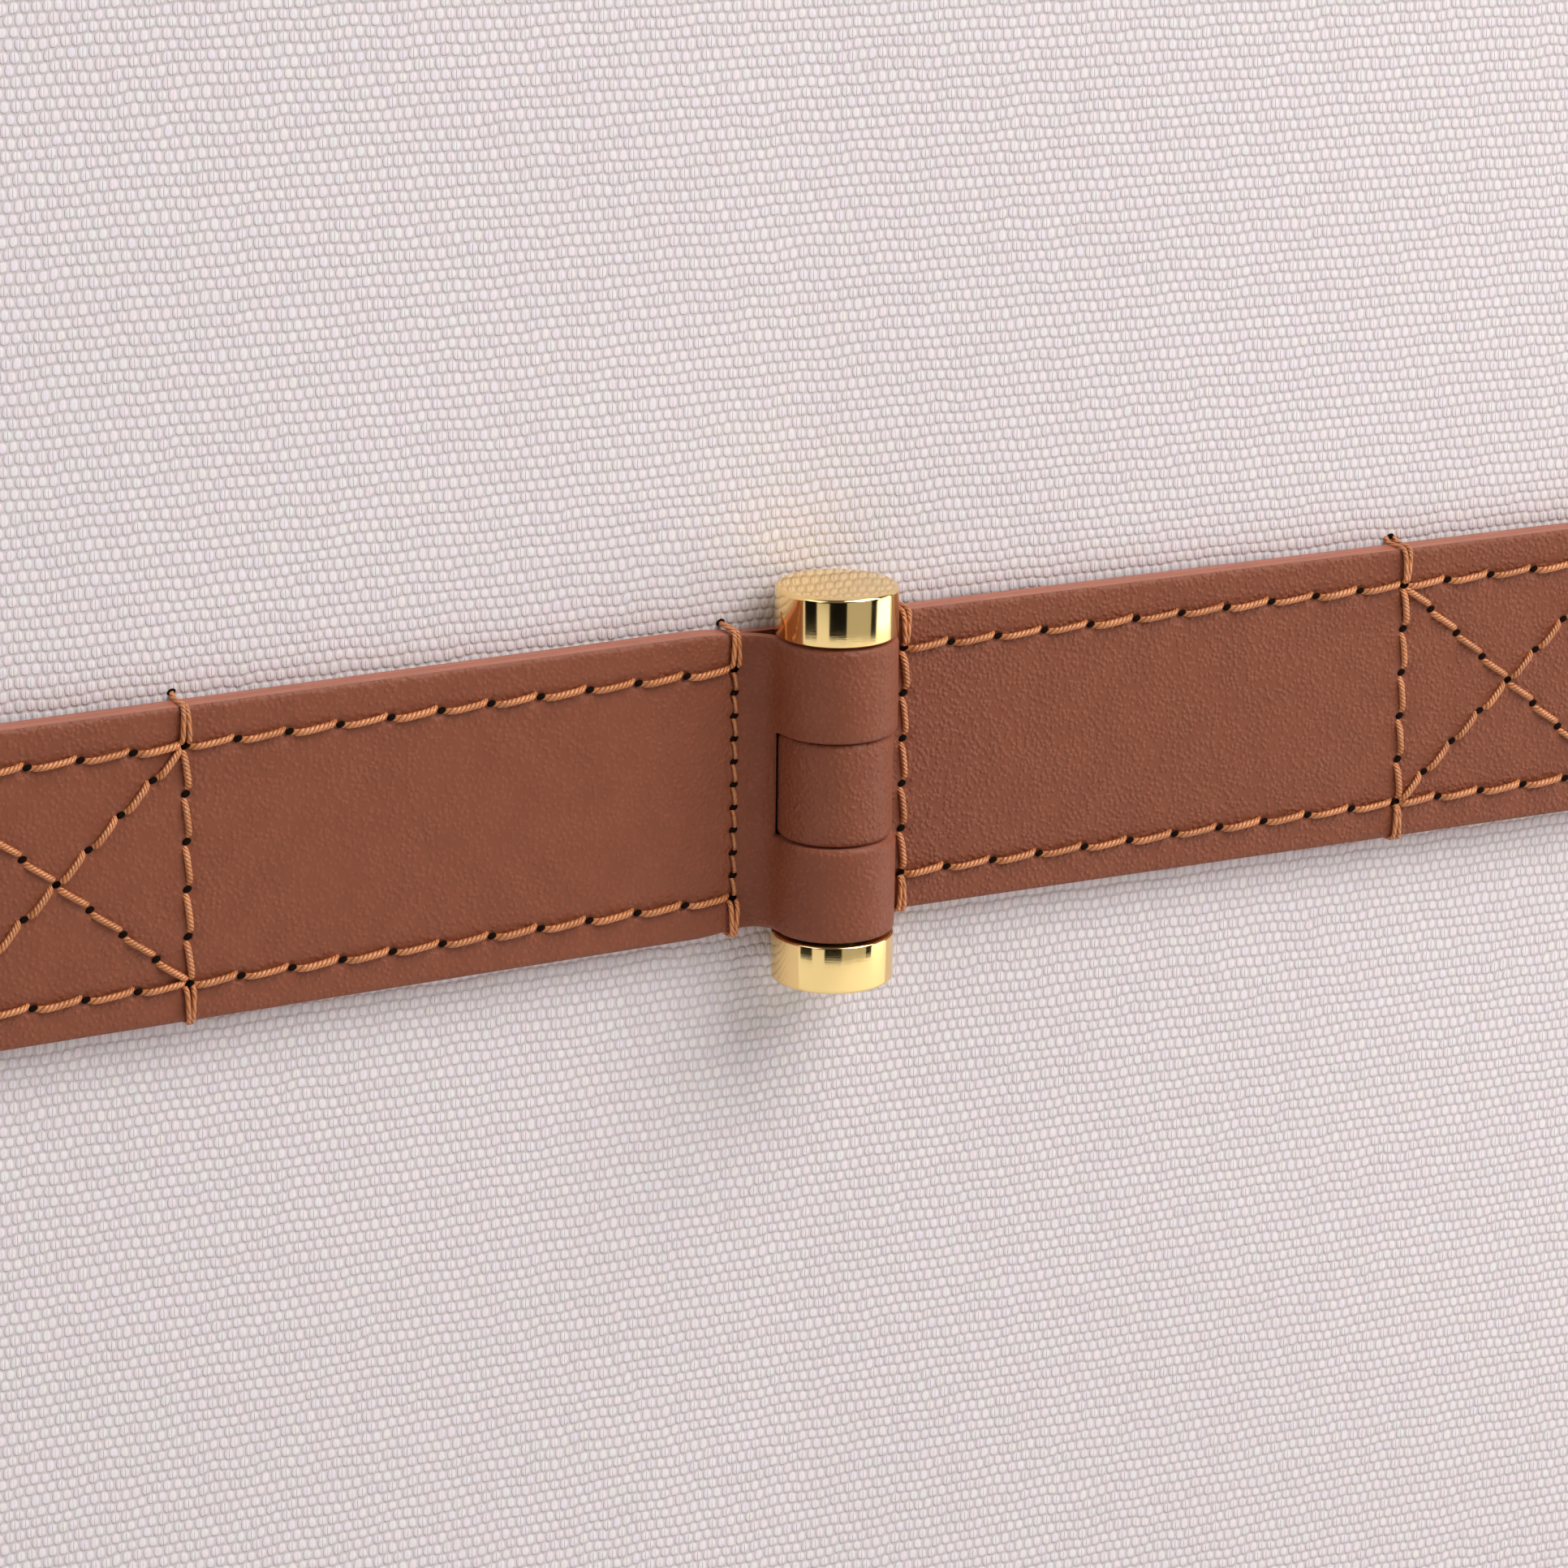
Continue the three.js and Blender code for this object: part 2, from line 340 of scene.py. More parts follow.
@dataclass(frozen=True)
class GrainLeather(Finish):
    """Corrected-grain leather: fine pebbles that grow where it bends, and a soft sheen."""

    pebble_mm: float = 0.42
    depth_mm: float = 0.055
    roughness: float = 0.47
    smoothest: float = 0.3

    def surface(self, graph: Graph, shader: bpy.types.Node) -> None:
        """Pebbles, pores, tone, painted shade in the creases between pebbles, and sheen."""
        hide = graph.scaled(graph.call("ShaderNodeUVMap", {}, uv_map=CLOTH_UV), 1 / MM)
        drift = graph.scaled(graph.noise(hide, 1.9, 2.0, "Color"), 0.22)
        bent = graph.vector_math("ADD", hide, drift)
        inputs = {"Vector": bent, "Scale": 1 / self.pebble_mm, "Smoothness": 0.55}
        away = graph.call("ShaderNodeTexVoronoi", inputs, "Distance", feature="SMOOTH_F1")
        pebble = graph.ramp(away, 0.12, 0.62, 1.0, 0.0)
        worn = graph.ramp(graph.noise(hide, 0.12, 2.0), 0.3, 0.7, self.smoothest, 1.0)
        fine = graph.noise(hide, 5.5, 3.0)
        height = graph.math("ADD", graph.math("MULTIPLY", pebble, worn),
                            graph.math("MULTIPLY", fine, 0.35))
        tone = graph.ramp(graph.noise(hide, 0.35, 4.0), 0.3, 0.7)
        light = tuple(min(1.0, c * k) for c, k in zip(self.colour, (1.03, 1.05, 1.06)))
        dark = tuple(c * k for c, k in zip(self.colour, (0.95, 0.93, 0.92)))
        body = graph.mix(tone, dark, light)
        # Painted shade: the creases between pebbles are darkened.
        crease_shade = graph.mix(graph.ramp(pebble, 0.0, 0.6, 0.16, 0.0), body,
                         tuple(c * 0.45 for c in self.colour))
        graph.feed(shader.inputs["Base Color"], crease_shade)
        gloss = graph.ramp(graph.noise(hide, 2.2, 3.0), 0.2, 0.8, self.roughness - 0.05,
                           self.roughness + 0.09)
        graph.feed(shader.inputs["Roughness"], gloss)
        shader.inputs["Specular IOR Level"].default_value = 0.32
        bump(graph, shader, height, self.depth_mm)


@dataclass(frozen=True)
class EdgePaintAndLight(Finish):
    """The lighter paint on a cut leather edge, slightly uneven, with painted light on top: its
    colour is set as bright as the lit top edge looks.
    """

    def surface(self, graph: Graph, shader: bpy.types.Node) -> None:
        """Uneven paint over the fibres of the edge."""
        place = graph.call("ShaderNodeTexCoord", {}, "Object")
        drawn = graph.vector_math("MULTIPLY", place, (260.0, 2600.0, 2600.0))
        streak = graph.noise(drawn, 1.0, 3.0)
        graph.feed(shader.inputs["Base Color"], graph.mix(
            graph.ramp(streak, 0.3, 0.7), tuple(c * 0.82 for c in self.colour), self.colour))
        shader.inputs["Roughness"].default_value = 0.42
        bump(graph, shader, streak, 0.04)


@dataclass(frozen=True)
class PlyThread(Finish):
    """Waxed thread of three plies, whose twist shows as slanting ridges."""

    turns: float = 3.2
    depth_mm: float = 0.07
    roughness: float = 0.38

    def surface(self, graph: Graph, shader: bpy.types.Node) -> None:
        """Twist ridges from the ring and along attributes, dark creases between plies as painted
        shade, and lighter patches at random as painted highlights.
        """
        ring = graph.call("ShaderNodeAttribute", {}, "Vector", attribute_name="ring")
        along = graph.call("ShaderNodeAttribute", {}, "Fac", attribute_name="along")
        split = graph.call("ShaderNodeSeparateXYZ", {0: ring}).node
        angle = graph.math("ARCTAN2", split.outputs[1], split.outputs[0])
        twist = graph.math("MULTIPLY_ADD", along, 2 * math.pi * self.turns, angle)
        ridge = graph.math("ABSOLUTE", graph.math("SINE", graph.math("MULTIPLY", twist, 1.5)))
        place = graph.call("ShaderNodeTexCoord", {}, "Object")
        fuzz = graph.noise(place, 9000.0, 2.0)
        height = graph.math("ADD", ridge, graph.math("MULTIPLY", fuzz, 0.25))
        # Painted highlight: patches at random are lighter and paler, standing in for highlights on
        # the thread.
        tone = graph.mix(graph.ramp(graph.noise(place, 420.0, 2.0), 0.35, 0.65), self.colour,
                         tuple(min(1.0, c * k) for c, k in zip(self.colour, (1.3, 1.38, 1.6))))
        # Painted shade: the creases between plies are darkened to a third of the thread's colour.
        graph.feed(shader.inputs["Base Color"], graph.mix(
            graph.ramp(ridge, 0.0, 0.55), tuple(c * 0.35 for c in self.colour), tone))
        shader.inputs["Roughness"].default_value = self.roughness
        shader.inputs["Specular IOR Level"].default_value = 0.8
        bump(graph, shader, height, self.depth_mm)


@dataclass(frozen=True)
class Needled(Finish):
    """Painted shade for the inside of a needle hole: nearly black, ragged like fibres."""

    def surface(self, graph: Graph, shader: bpy.types.Node) -> None:
        """Nearly black painted shade, ragged like fibres."""
        place = graph.call("ShaderNodeTexCoord", {}, "Object")
        rag = graph.noise(place, 6000.0, 2.0)
        graph.feed(shader.inputs["Base Color"], graph.mix(
            rag, tuple(c * 0.4 for c in self.colour), self.colour))
        shader.inputs["Roughness"].default_value = 0.9
        shader.inputs["Specular IOR Level"].default_value = 0.05
        bump(graph, shader, rag, 0.05)


@dataclass(frozen=True)
class PolishedMetal(Finish):
    """Metal with hairline scratches and a faint haze."""

    roughness: float = 0.07
    scratch_mm: float = 0.0012
    grain: Point = (900.0, 900.0, 9000.0)

    def surface(self, graph: Graph, shader: bpy.types.Node) -> None:
        """Hairlines, haze and gloss."""
        place = graph.call("ShaderNodeTexCoord", {}, "Object")
        hair = graph.noise(graph.vector_math("MULTIPLY", place, self.grain), 1.0, 2.0)
        haze = graph.noise(place, 300.0, 3.0)
        graph.feed(shader.inputs["Base Color"], graph.mix(
            graph.ramp(haze, 0.3, 0.75, 0.0, 0.35), self.colour,
            tuple(c * k for c, k in zip(self.colour, (0.93, 0.88, 0.78)))))
        shader.inputs["Metallic"].default_value = 1.0
        graph.feed(shader.inputs["Roughness"], graph.ramp(
            haze, 0.3, 0.8, self.roughness, self.roughness * 1.8))
        bump(graph, shader, hair, self.scratch_mm)


@dataclass(frozen=True)
class GlowCard(Finish):
    """A studio card with an even glow, for polished metal to mirror."""

    def surface(self, graph: Graph, shader: bpy.types.Node) -> None:
        """An even glow."""
        shader.inputs["Base Color"].default_value = (0.0, 0.0, 0.0, 1.0)
        shader.inputs["Emission Color"].default_value = (*self.colour, 1.0)
        shader.inputs["Emission Strength"].default_value = 1.0


@dataclass(frozen=True)
class PressedBoard(Finish):
    """Grey-brown fibreboard with flecks."""

    def surface(self, graph: Graph, shader: bpy.types.Node) -> None:
        """Flecks and a felted surface."""
        place = graph.call("ShaderNodeTexCoord", {}, "Object")
        fleck = graph.ramp(graph.noise(place, 900.0, 3.0), 0.55, 0.68)
        cloud = graph.noise(place, 60.0, 4.0)
        base = graph.mix(cloud, tuple(c * 0.8 for c in self.colour), self.colour)
        graph.feed(shader.inputs["Base Color"], graph.mix(
            fleck, base, tuple(min(1.0, c * 1.5) for c in self.colour)))
        shader.inputs["Roughness"].default_value = 0.88
        bump(graph, shader, graph.noise(place, 2200.0, 3.0), 0.08)


# In the weave finishes, weft is darker partly as painted shade of the sunken weft, and gap is the
# colour of painted shade in the creases between picks.
DUCK = PlainWeave("natural_duck", (0.86, 0.78, 0.80), end_mm=0.4411, pick_mm=0.9016,
                  weft=(0.70, 0.63, 0.635), gap=(0.50, 0.435, 0.42), depth_mm=0.14)
COTTON = PlainWeave("lining_cotton", (0.74, 0.69, 0.62), end_mm=0.30, pick_mm=0.45,
                    weft=(0.62, 0.57, 0.50), gap=(0.42, 0.38, 0.33), depth_mm=0.10, rise_mm=0.21,
                    swell_mm=0.25)
HIDE_SMOOTH = GrainLeather("saddle_hide", (0.240, 0.066, 0.029), depth_mm=0.062, smoothest=0.6)
HIDE_PEBBLED = GrainLeather("pebbled_hide", (0.238, 0.065, 0.028), pebble_mm=0.40, depth_mm=0.085,
                            smoothest=0.85)
# Edge colour: partly the edge paint and partly painted light, raised to how the lit top edge looks.
EDGE_PAINT_AND_LIGHT = EdgePaintAndLight("hide_edge_paint", (0.44, 0.145, 0.085))
WAXED_THREAD = PlyThread("waxed_thread", (0.56, 0.19, 0.055), roughness=0.27)
COTTON_THREAD = PlyThread("cotton_thread", (0.66, 0.60, 0.54), roughness=0.75)
NEEDLE_HOLE_SHADE = Needled("needle_hole", (0.012, 0.006, 0.004))
GILT = PolishedMetal("gilt", (1.0, 0.74, 0.33))
STEEL = PolishedMetal("drawn_steel", (0.56, 0.55, 0.52), roughness=0.28, scratch_mm=0.01)
GREY_CARD = GlowCard("grey_card", (0.42, 0.41, 0.38))
BLACK_CARD = Needled("black_card", (0.004, 0.004, 0.004))
BOARD = PressedBoard("fibreboard", (0.34, 0.28, 0.21))


# ---------------------------------------------------------------------------------------------
# Meshes


def mesh_object(name: str, points: Sequence[Sequence[float]], faces: Sequence[Sequence[int]],
                finishes: Sequence[Finish], smooth_deg: float = 40.0) -> bpy.types.Object:
    """A mesh object at the origin.

    Args:
        name: the piece's name.
        points: the vertices, in metres.
        faces: the faces' vertex numbers, facing out.
        finishes: the finishes of its material slots.
        smooth_deg: edges sharper than this stay sharp.
    Returns:
        The object, linked to the scene.
    """
    mesh = bpy.data.meshes.new(name)
    mesh.from_pydata([tuple(p) for p in points], [], [tuple(f) for f in faces])
    mesh.validate()
    for finish in finishes:
        mesh.materials.append(finish.material())
    mesh.shade_smooth()
    mesh.set_sharp_from_angle(angle=math.radians(smooth_deg))
    made = bpy.data.objects.new(name, mesh)
    bpy.context.scene.collection.objects.link(made)
    return made


def set_uv(mesh: bpy.types.Mesh, flat: Sequence[tuple[float, float]]) -> None:
    """Give every vertex its place on the flat cloth, in metres, as the piece's own UV map."""
    layer = mesh.uv_layers.new(name=CLOTH_UV)
    corners = np.zeros(len(mesh.loops), np.int64)
    mesh.loops.foreach_get("vertex_index", corners)
    layer.data.foreach_set("uv", np.array(flat, np.float32)[corners].ravel())


def grow(rows: int, columns: int, closed: bool = False) -> list[tuple[int, int, int, int]]:
    """The quads of a grid of rows and columns, whose columns may close on themselves."""
    quads = []
    for i in range(rows - 1):
        for j in range(columns if closed else columns - 1):
            k = (j + 1) % columns
            here, ahead = i * columns, (i + 1) * columns
            quads.append((here + j, here + k, ahead + k, ahead + j))
    return quads


def turned(name: str, profile: Sequence[tuple[float, float]], centre: Point,
           finish: Finish, segments: int = 128) -> bpy.types.Object:
    """A turned piece around a vertical axis.

    Args:
        name: the piece's name.
        profile: radius and height in metres, from the lower pole to the upper one.
        centre: where the axis stands.
        finish: its finish.
        segments: steps round.
    Returns:
        The object.
    """
    rings = profile[1:-1]
    points = [(centre[0], centre[1], centre[2] + profile[0][1])]
    for radius, height in rings:
        for k in range(segments):
            angle = 2 * math.pi * k / segments
            points.append((centre[0] + radius * math.cos(angle),
                           centre[1] + radius * math.sin(angle), centre[2] + height))
    points.append((centre[0], centre[1], centre[2] + profile[-1][1]))
    faces: list[tuple[int, ...]] = [tuple(i + 1 for i in quad)
                                    for quad in grow(len(rings), segments, closed=True)]
    last = len(points) - 1
    top = 1 + (len(rings) - 1) * segments
    for k in range(segments):
        following = (k + 1) % segments
        faces.append((0, 1 + following, 1 + k))
        faces.append((last, top + k, top + following))
    return mesh_object(name, points, faces, [finish], 50.0)


# ---------------------------------------------------------------------------------------------
# Threads


@dataclass
class StitchRow:
    """Needle holes in sewing order, and which way is out of the work at each of them."""

    holes: list[Point]
    outward: list[Point]


@dataclass
class Sewing:
    """Stitches and needle holes along rows, instanced by Geometry Nodes."""

    name: str
    finish: Finish
    radius: float = 0.28 * MM
    slant: float = 0.42 * MM
    rise: float = 0.30 * MM
    cover: float = 0.90
    seed: int = 7

    def rows_object(self, rows: Iterable[StitchRow]) -> bpy.types.Object:
        """The rows as a mesh of edges, one for each stitch.

        Args:
            rows: the rows.
        Returns:
            An object with an outward attribute on its points.
        """
        points: list[Point] = []
        edges: list[tuple[int, int]] = []
        outward: list[Point] = []
        for row in rows:
            first = len(points)
            points += row.holes
            outward += row.outward
            edges += [(first + i, first + i + 1) for i in range(len(row.holes) - 1)]
        mesh = bpy.data.meshes.new(self.name)
        mesh.from_pydata(points, edges, [])
        layer = mesh.attributes.new("outward", "FLOAT_VECTOR", "POINT")
        layer.data.foreach_set("vector", np.array(outward, np.float32).ravel())
        made = bpy.data.objects.new(self.name, mesh)
        bpy.context.scene.collection.objects.link(made)
        return made

    def tree(self, name: str, inputs: dict[str, tuple[str, float]]) -> tuple[Graph, bpy.types.Node]:
        """An empty Geometry Nodes tree with named inputs.

        Args:
            name: the tree's name.
            inputs: socket type and default value by input name.
        Returns:
            The graph and its input node.
        """
        tree = bpy.data.node_groups.new(name, "GeometryNodeTree")
        tree.interface.new_socket("Geometry", in_out="INPUT", socket_type="NodeSocketGeometry")
        for key, (kind, value) in inputs.items():
            tree.interface.new_socket(key, in_out="INPUT", socket_type=kind).default_value = value
        tree.interface.new_socket("Geometry", in_out="OUTPUT", socket_type="NodeSocketGeometry")
        graph = Graph(tree)
        return graph, graph.node("NodeGroupInput")

    def finish_tree(self, graph: Graph, instances: bpy.types.NodeSocket, finish: Finish) -> None:
        """End a tree in Realize Instances, smooth shading and Set Material."""
        real = graph.call("GeometryNodeRealizeInstances", {0: instances})
        smooth = graph.call("GeometryNodeSetShadeSmooth", {0: real})
        inputs = {"Geometry": smooth, "Material": finish.material()}
        done = graph.call("GeometryNodeSetMaterial", inputs)
        graph.feed(graph.node("NodeGroupOutput").inputs[0], done)

    def facing(self, graph: Graph, run: bpy.types.NodeSocket) -> bpy.types.NodeSocket:
        """A rotation whose X follows the run and whose Z follows the outward attribute."""
        along = graph.call("FunctionNodeAlignRotationToVector", {"Vector": run}, axis="X")
        outward = graph.call("GeometryNodeInputNamedAttribute", {"Name": "outward"},
                             data_type="FLOAT_VECTOR")
        inputs = {"Rotation": along, "Vector": outward}
        return graph.call("FunctionNodeAlignRotationToVector", inputs, axis="Z", pivot_axis="X")

    def stored(self, graph: Graph, geometry: object, name: str, value: object, domain: str,
               data_type: str = "FLOAT_VECTOR") -> bpy.types.NodeSocket:
        """Geometry with a named attribute stored on it."""
        inputs = {"Geometry": geometry, "Name": name, "Value": value}
        return graph.call("GeometryNodeStoreNamedAttribute", inputs, domain=domain,
                          data_type=data_type)

    def stitch_tree(self) -> bpy.types.NodeTree:
        """The tree that lays one twisted stitch on each edge.

        Returns:
            The tree.
        """
        graph, given = self.tree("stitches_" + self.name, {
            "Thread Radius": ("NodeSocketFloat", self.radius),
            "Slant": ("NodeSocketFloat", self.slant),
            "Rise": ("NodeSocketFloat", self.rise),
            "Cover": ("NodeSocketFloat", self.cover),
            "Seed": ("NodeSocketInt", self.seed),
        })
        radius, slant, rise, cover, seed = (given.outputs[k] for k in (
            "Thread Radius", "Slant", "Rise", "Cover", "Seed"))
        ends = graph.node("GeometryNodeInputMeshEdgeVertices")
        run = graph.vector_math("SUBTRACT", ends.outputs["Position 2"], ends.outputs["Position 1"])
        marked = self.stored(graph, given.outputs["Geometry"], "run", run, "EDGE")
        points = graph.call("GeometryNodeMeshToPoints", {"Mesh": marked}, mode="EDGES")
        run = graph.call("GeometryNodeInputNamedAttribute", {"Name": "run"},
                         data_type="FLOAT_VECTOR")

        rail = graph.call("GeometryNodeCurvePrimitiveLine",
                          {"Start": (-0.5, 0.0, 0.0), "End": (0.5, 0.0, 0.0)})
        rail = graph.call("GeometryNodeResampleCurve", {"Curve": rail, "Count": 9})
        factor = graph.node("GeometryNodeSplineParameter").outputs["Factor"]
        rail = self.stored(graph, rail, "along", factor, "POINT", "FLOAT")
        centred = graph.math("SUBTRACT", factor, 0.5)
        side = graph.math("MULTIPLY", centred, slant)
        steep = graph.math("ABSOLUTE", graph.math("MULTIPLY", centred, 2.0))
        steep = graph.math("POWER", steep, 5.0)
        lift = graph.math("SUBTRACT", rise, graph.math("MULTIPLY", steep, graph.math(
            "MULTIPLY", radius, 2.6)))
        place = graph.call("ShaderNodeCombineXYZ", {0: centred, 1: side, 2: lift})
        rail = graph.call("GeometryNodeSetPosition", {"Geometry": rail, "Position": place})
        section = graph.call("GeometryNodeCurvePrimitiveCircle", {"Resolution": 8, "Radius": 1.0})
        here = graph.node("GeometryNodeInputPosition").outputs[0]
        section = self.stored(graph, section, "ring", here, "POINT")
        thick = graph.call("ShaderNodeCombineXYZ", {0: radius, 1: radius, 2: radius})
        section = graph.call("GeometryNodeTransform", {"Geometry": section, "Scale": thick})
        tube = graph.call("GeometryNodeCurveToMesh", {
            "Curve": rail, "Profile Curve": section, "Fill Caps": True})

        length = graph.math("MULTIPLY", graph.vector_math("LENGTH", run, out=1), cover)
        swell = graph.call("FunctionNodeRandomValue", {2: 0.92, 3: 1.08, "Seed": seed}, 1)
        scale = graph.call("ShaderNodeCombineXYZ", {0: length, 1: swell, 2: swell})
        made = graph.call("GeometryNodeInstanceOnPoints", {
            "Points": points, "Instance": tube, "Rotation": self.facing(graph, run),
            "Scale": scale})
        self.finish_tree(graph, made, self.finish)
        return graph.tree

    def hole_tree(self, long: float, wide: float) -> bpy.types.NodeTree:
        """The tree that puts a dark needle hole, a dot of painted shade, on each point.

        Args:
            long: half length of a hole.
            wide: half width of a hole.
        Returns:
            The tree.
        """
        graph, given = self.tree("needle_holes_" + self.name, {
            "Half Length": ("NodeSocketFloat", long),
            "Half Width": ("NodeSocketFloat", wide),
            "Depth": ("NodeSocketFloat", wide * 0.4),
        })
        ball = graph.call("GeometryNodeMeshUVSphere", {"Segments": 10, "Rings": 5, "Radius": 1.0})
        points = graph.call("GeometryNodeMeshToPoints", {"Mesh": given.outputs["Geometry"]},
                            mode="VERTICES")
        scale = graph.call("ShaderNodeCombineXYZ", {
            0: given.outputs["Half Length"], 1: given.outputs["Half Width"],
            2: given.outputs["Depth"]})
        made = graph.call("GeometryNodeInstanceOnPoints", {
            "Points": points, "Instance": ball, "Scale": scale,
            "Rotation": self.facing(graph, (1.0, 0.0, 0.35))})
        self.finish_tree(graph, made, NEEDLE_HOLE_SHADE)
        return graph.tree

    def run_tree(self, rows: Iterable[StitchRow], tree: bpy.types.NodeTree, name: str,
                 values: dict[str, float]) -> bpy.types.Object:
        """Run a tree on rows and keep its result as a plain mesh.

        Args:
            rows: the rows.
            tree: the tree.
            name: the piece's name.
            values: the tree's inputs by name.
        Returns:
            The object, with no modifier.
        """
        source = self.rows_object(rows)
        modifier = source.modifiers.new("sew", "NODES")
        modifier.node_group = tree
        names = {item.name: item.identifier for item in tree.interface.items_tree
                 if item.item_type == "SOCKET" and item.in_out == "INPUT"}
        for key, value in values.items():
            modifier[names[key]] = value
        evaluated = source.evaluated_get(bpy.context.evaluated_depsgraph_get())
        mesh = bpy.data.meshes.new_from_object(evaluated)
        mesh.name = name
        bpy.data.objects.remove(source)
        made = bpy.data.objects.new(name, mesh)
        bpy.context.scene.collection.objects.link(made)
        return made

    def sew(self, rows: Sequence[StitchRow], name: str) -> bpy.types.Object:
        """The stitches of rows as one piece."""
        tree = bpy.data.node_groups.get("stitches_" + self.name) or self.stitch_tree()
        return self.run_tree(rows, tree, name, {
            "Thread Radius": self.radius, "Slant": self.slant, "Rise": self.rise})

    def pierce(self, rows: Sequence[StitchRow], name: str) -> bpy.types.Object:
        """The needle holes of rows, as dots of painted shade, in one piece."""
        long, wide = 0.40 * MM, 0.27 * MM
        tree = bpy.data.node_groups.get("needle_holes_" + self.name) or self.hole_tree(long, wide)
        return self.run_tree(rows, tree, name, {"Half Length": long, "Half Width": wide})


def thread_tubes(name: str, paths: Sequence[Sequence[Vector]], radius: float,
                 finish: Finish, sides: int = 8) -> bpy.types.Object:
    """Lengths of thread along given paths, as one piece.

    Args:
        name: the piece's name.
        paths: the points that each length follows.
        radius: the thread's radius.
        finish: the thread's finish.
        sides: sides of the tube.
    Returns:
        The object, with the ring and along attributes of the twist.
    """
    points: list[Vector] = []
    faces: list[tuple[int, ...]] = []
    rings: list[Point] = []
    along: list[float] = []
    for path in paths:
        first = len(points)
        for i, here in enumerate(path):
            ahead = (path[min(i + 1, len(path) - 1)] - path[max(i - 1, 0)]).normalized()
            side = ahead.cross(Vector((0.31, 0.12, 0.94))).normalized()
            other = ahead.cross(side)
            for k in range(sides):
                angle = 2 * math.pi * k / sides
                points.append(here + radius * (math.cos(angle) * side + math.sin(angle) * other))
                rings.append((math.cos(angle), math.sin(angle), 0.0))
                along.append(i / (len(path) - 1))
        faces += [tuple(first + i for i in quad) for quad in grow(len(path), sides, closed=True)]
        last = first + (len(path) - 1) * sides
        faces.append(tuple(first + k for k in reversed(range(sides))))
        faces.append(tuple(last + k for k in range(sides)))
    made = mesh_object(name, points, faces, [finish], 60.0)
    ring_layer = made.data.attributes.new("ring", "FLOAT_VECTOR", "POINT")
    ring_layer.data.foreach_set("vector", np.array(rings, np.float32).ravel())
    along_layer = made.data.attributes.new("along", "FLOAT", "POINT")
    along_layer.data.foreach_set("value", np.array(along, np.float32))
    face_out(made.data)
    return made


def face_out(mesh: bpy.types.Mesh) -> None:
    """Recalculate a mesh's normals so that its faces point out."""
    work = bmesh.new()
    work.from_mesh(mesh)
    bmesh.ops.recalc_face_normals(work, faces=work.faces)
    work.to_mesh(mesh)
    work.free()


# ---------------------------------------------------------------------------------------------
# The sewn shell


class Side(Enum):
    """The front wall, or the back wall, which is the front one turned half round."""

    FRONT = 1
    BACK = -1

    @property
    def word(self) -> str:
        """The side's name in lower case."""
        return self.name.lower()

    def turn(self, x: float, y: float, z: float) -> Point:
        """A point drawn on the front wall, moved to this wall."""
        return (x * self.value, y * self.value, z)


@dataclass
class FoldBow:
    """How far a folding wall stands proud of flat beside its fold, as sewn cloth does."""

    slope: float = math.tan(math.radians(1.11))
    reach: float = 76 * MM
    ends: float = 131 * MM
    soft: float = 0.8 * MM

    def at(self, x: float) -> float:
        """How far the wall stands out at a distance from the fold.

        Args:
            x: distance from the fold, either sign.
        Returns:
            The offset in metres, 0 at the fold and at the corners.
        """
        away = math.hypot(x, self.soft) - self.soft
        if abs(x) <= self.reach:
            return self.slope * away
        if abs(x) >= self.ends:
            return 0.0
        part = (self.ends - abs(x)) / (self.ends - self.reach)
        peak = self.slope * (math.hypot(self.reach, self.soft) - self.soft)
        onward = self.slope * (abs(x) - self.reach) * part * part
        return peak * part * part * (3 - 2 * part) + onward


@dataclass
class ShellPath:
    """The plan of the shell: a rectangle with round corners, by distance from the front fold."""

    half_x: float
    half_y: float
    corner: float = 4.5 * MM
    tightest: float = 0.8 * MM
    bow: FoldBow = field(default_factory=FoldBow)

    @property
    def arc(self) -> float:
        """Length of a corner's arc."""
        return math.pi * self.corner / 2

    @property
    def front_end(self) -> float:
        """Where the front wall's straight part ends."""
        return self.half_x - self.corner

    @property
    def side_start(self) -> float:
        """Where the right wall's straight part starts."""
        return self.front_end + self.arc

    @property
    def side_end(self) -> float:
        """Where the right wall's straight part ends."""
        return self.side_start + 2 * (self.half_y - self.corner)

    @property
    def back_start(self) -> float:
        """Where the back wall's straight part starts."""
        return self.side_end + self.arc

    @property
    def half_round(self) -> float:
        """Half of the way round."""
        return self.back_start + self.front_end

    def at(self, s: float, inset: float) -> tuple[float, float, float, float]:
        """A point of the plan.

        Args:
            s: distance along the outer face from the front fold, towards the right.
            inset: depth below the outer face.
        Returns:
            x, y and the outward direction.
        """
        turns, s = divmod(s + self.half_round / 2, self.half_round)
        s -= self.half_round / 2
        sign = -1.0 if int(turns) % 2 else 1.0
        x, y, nx, ny = self.quarter(s, inset)
        return sign * x, sign * y, sign * nx, sign * ny

    def quarter(self, s: float, inset: float) -> tuple[float, float, float, float]:
        """A point of the front wall and the walls beside it, from half way to half way."""
        mirror = -1.0 if s < 0 else 1.0
        s = abs(s)
        turn = max(self.corner - inset, self.tightest)
        end_x, end_y = self.half_x - inset - turn, self.half_y - inset - turn
        if s <= self.front_end:
            proud = self.bow.at(s) if inset < 3 * MM else 0.0
            return mirror * s * end_x / self.front_end, -self.half_y - proud + inset, 0.0, -1.0
        if s <= self.side_start:
            angle = (s - self.front_end) / self.corner
            nx, ny = math.sin(angle), -math.cos(angle)
            return mirror * (end_x + turn * nx), -end_y + turn * ny, mirror * nx, ny
        part = (s - self.side_start) / (self.side_end - self.side_start)
        return mirror * (self.half_x - inset), -end_y + 2 * end_y * part, mirror, 0.0


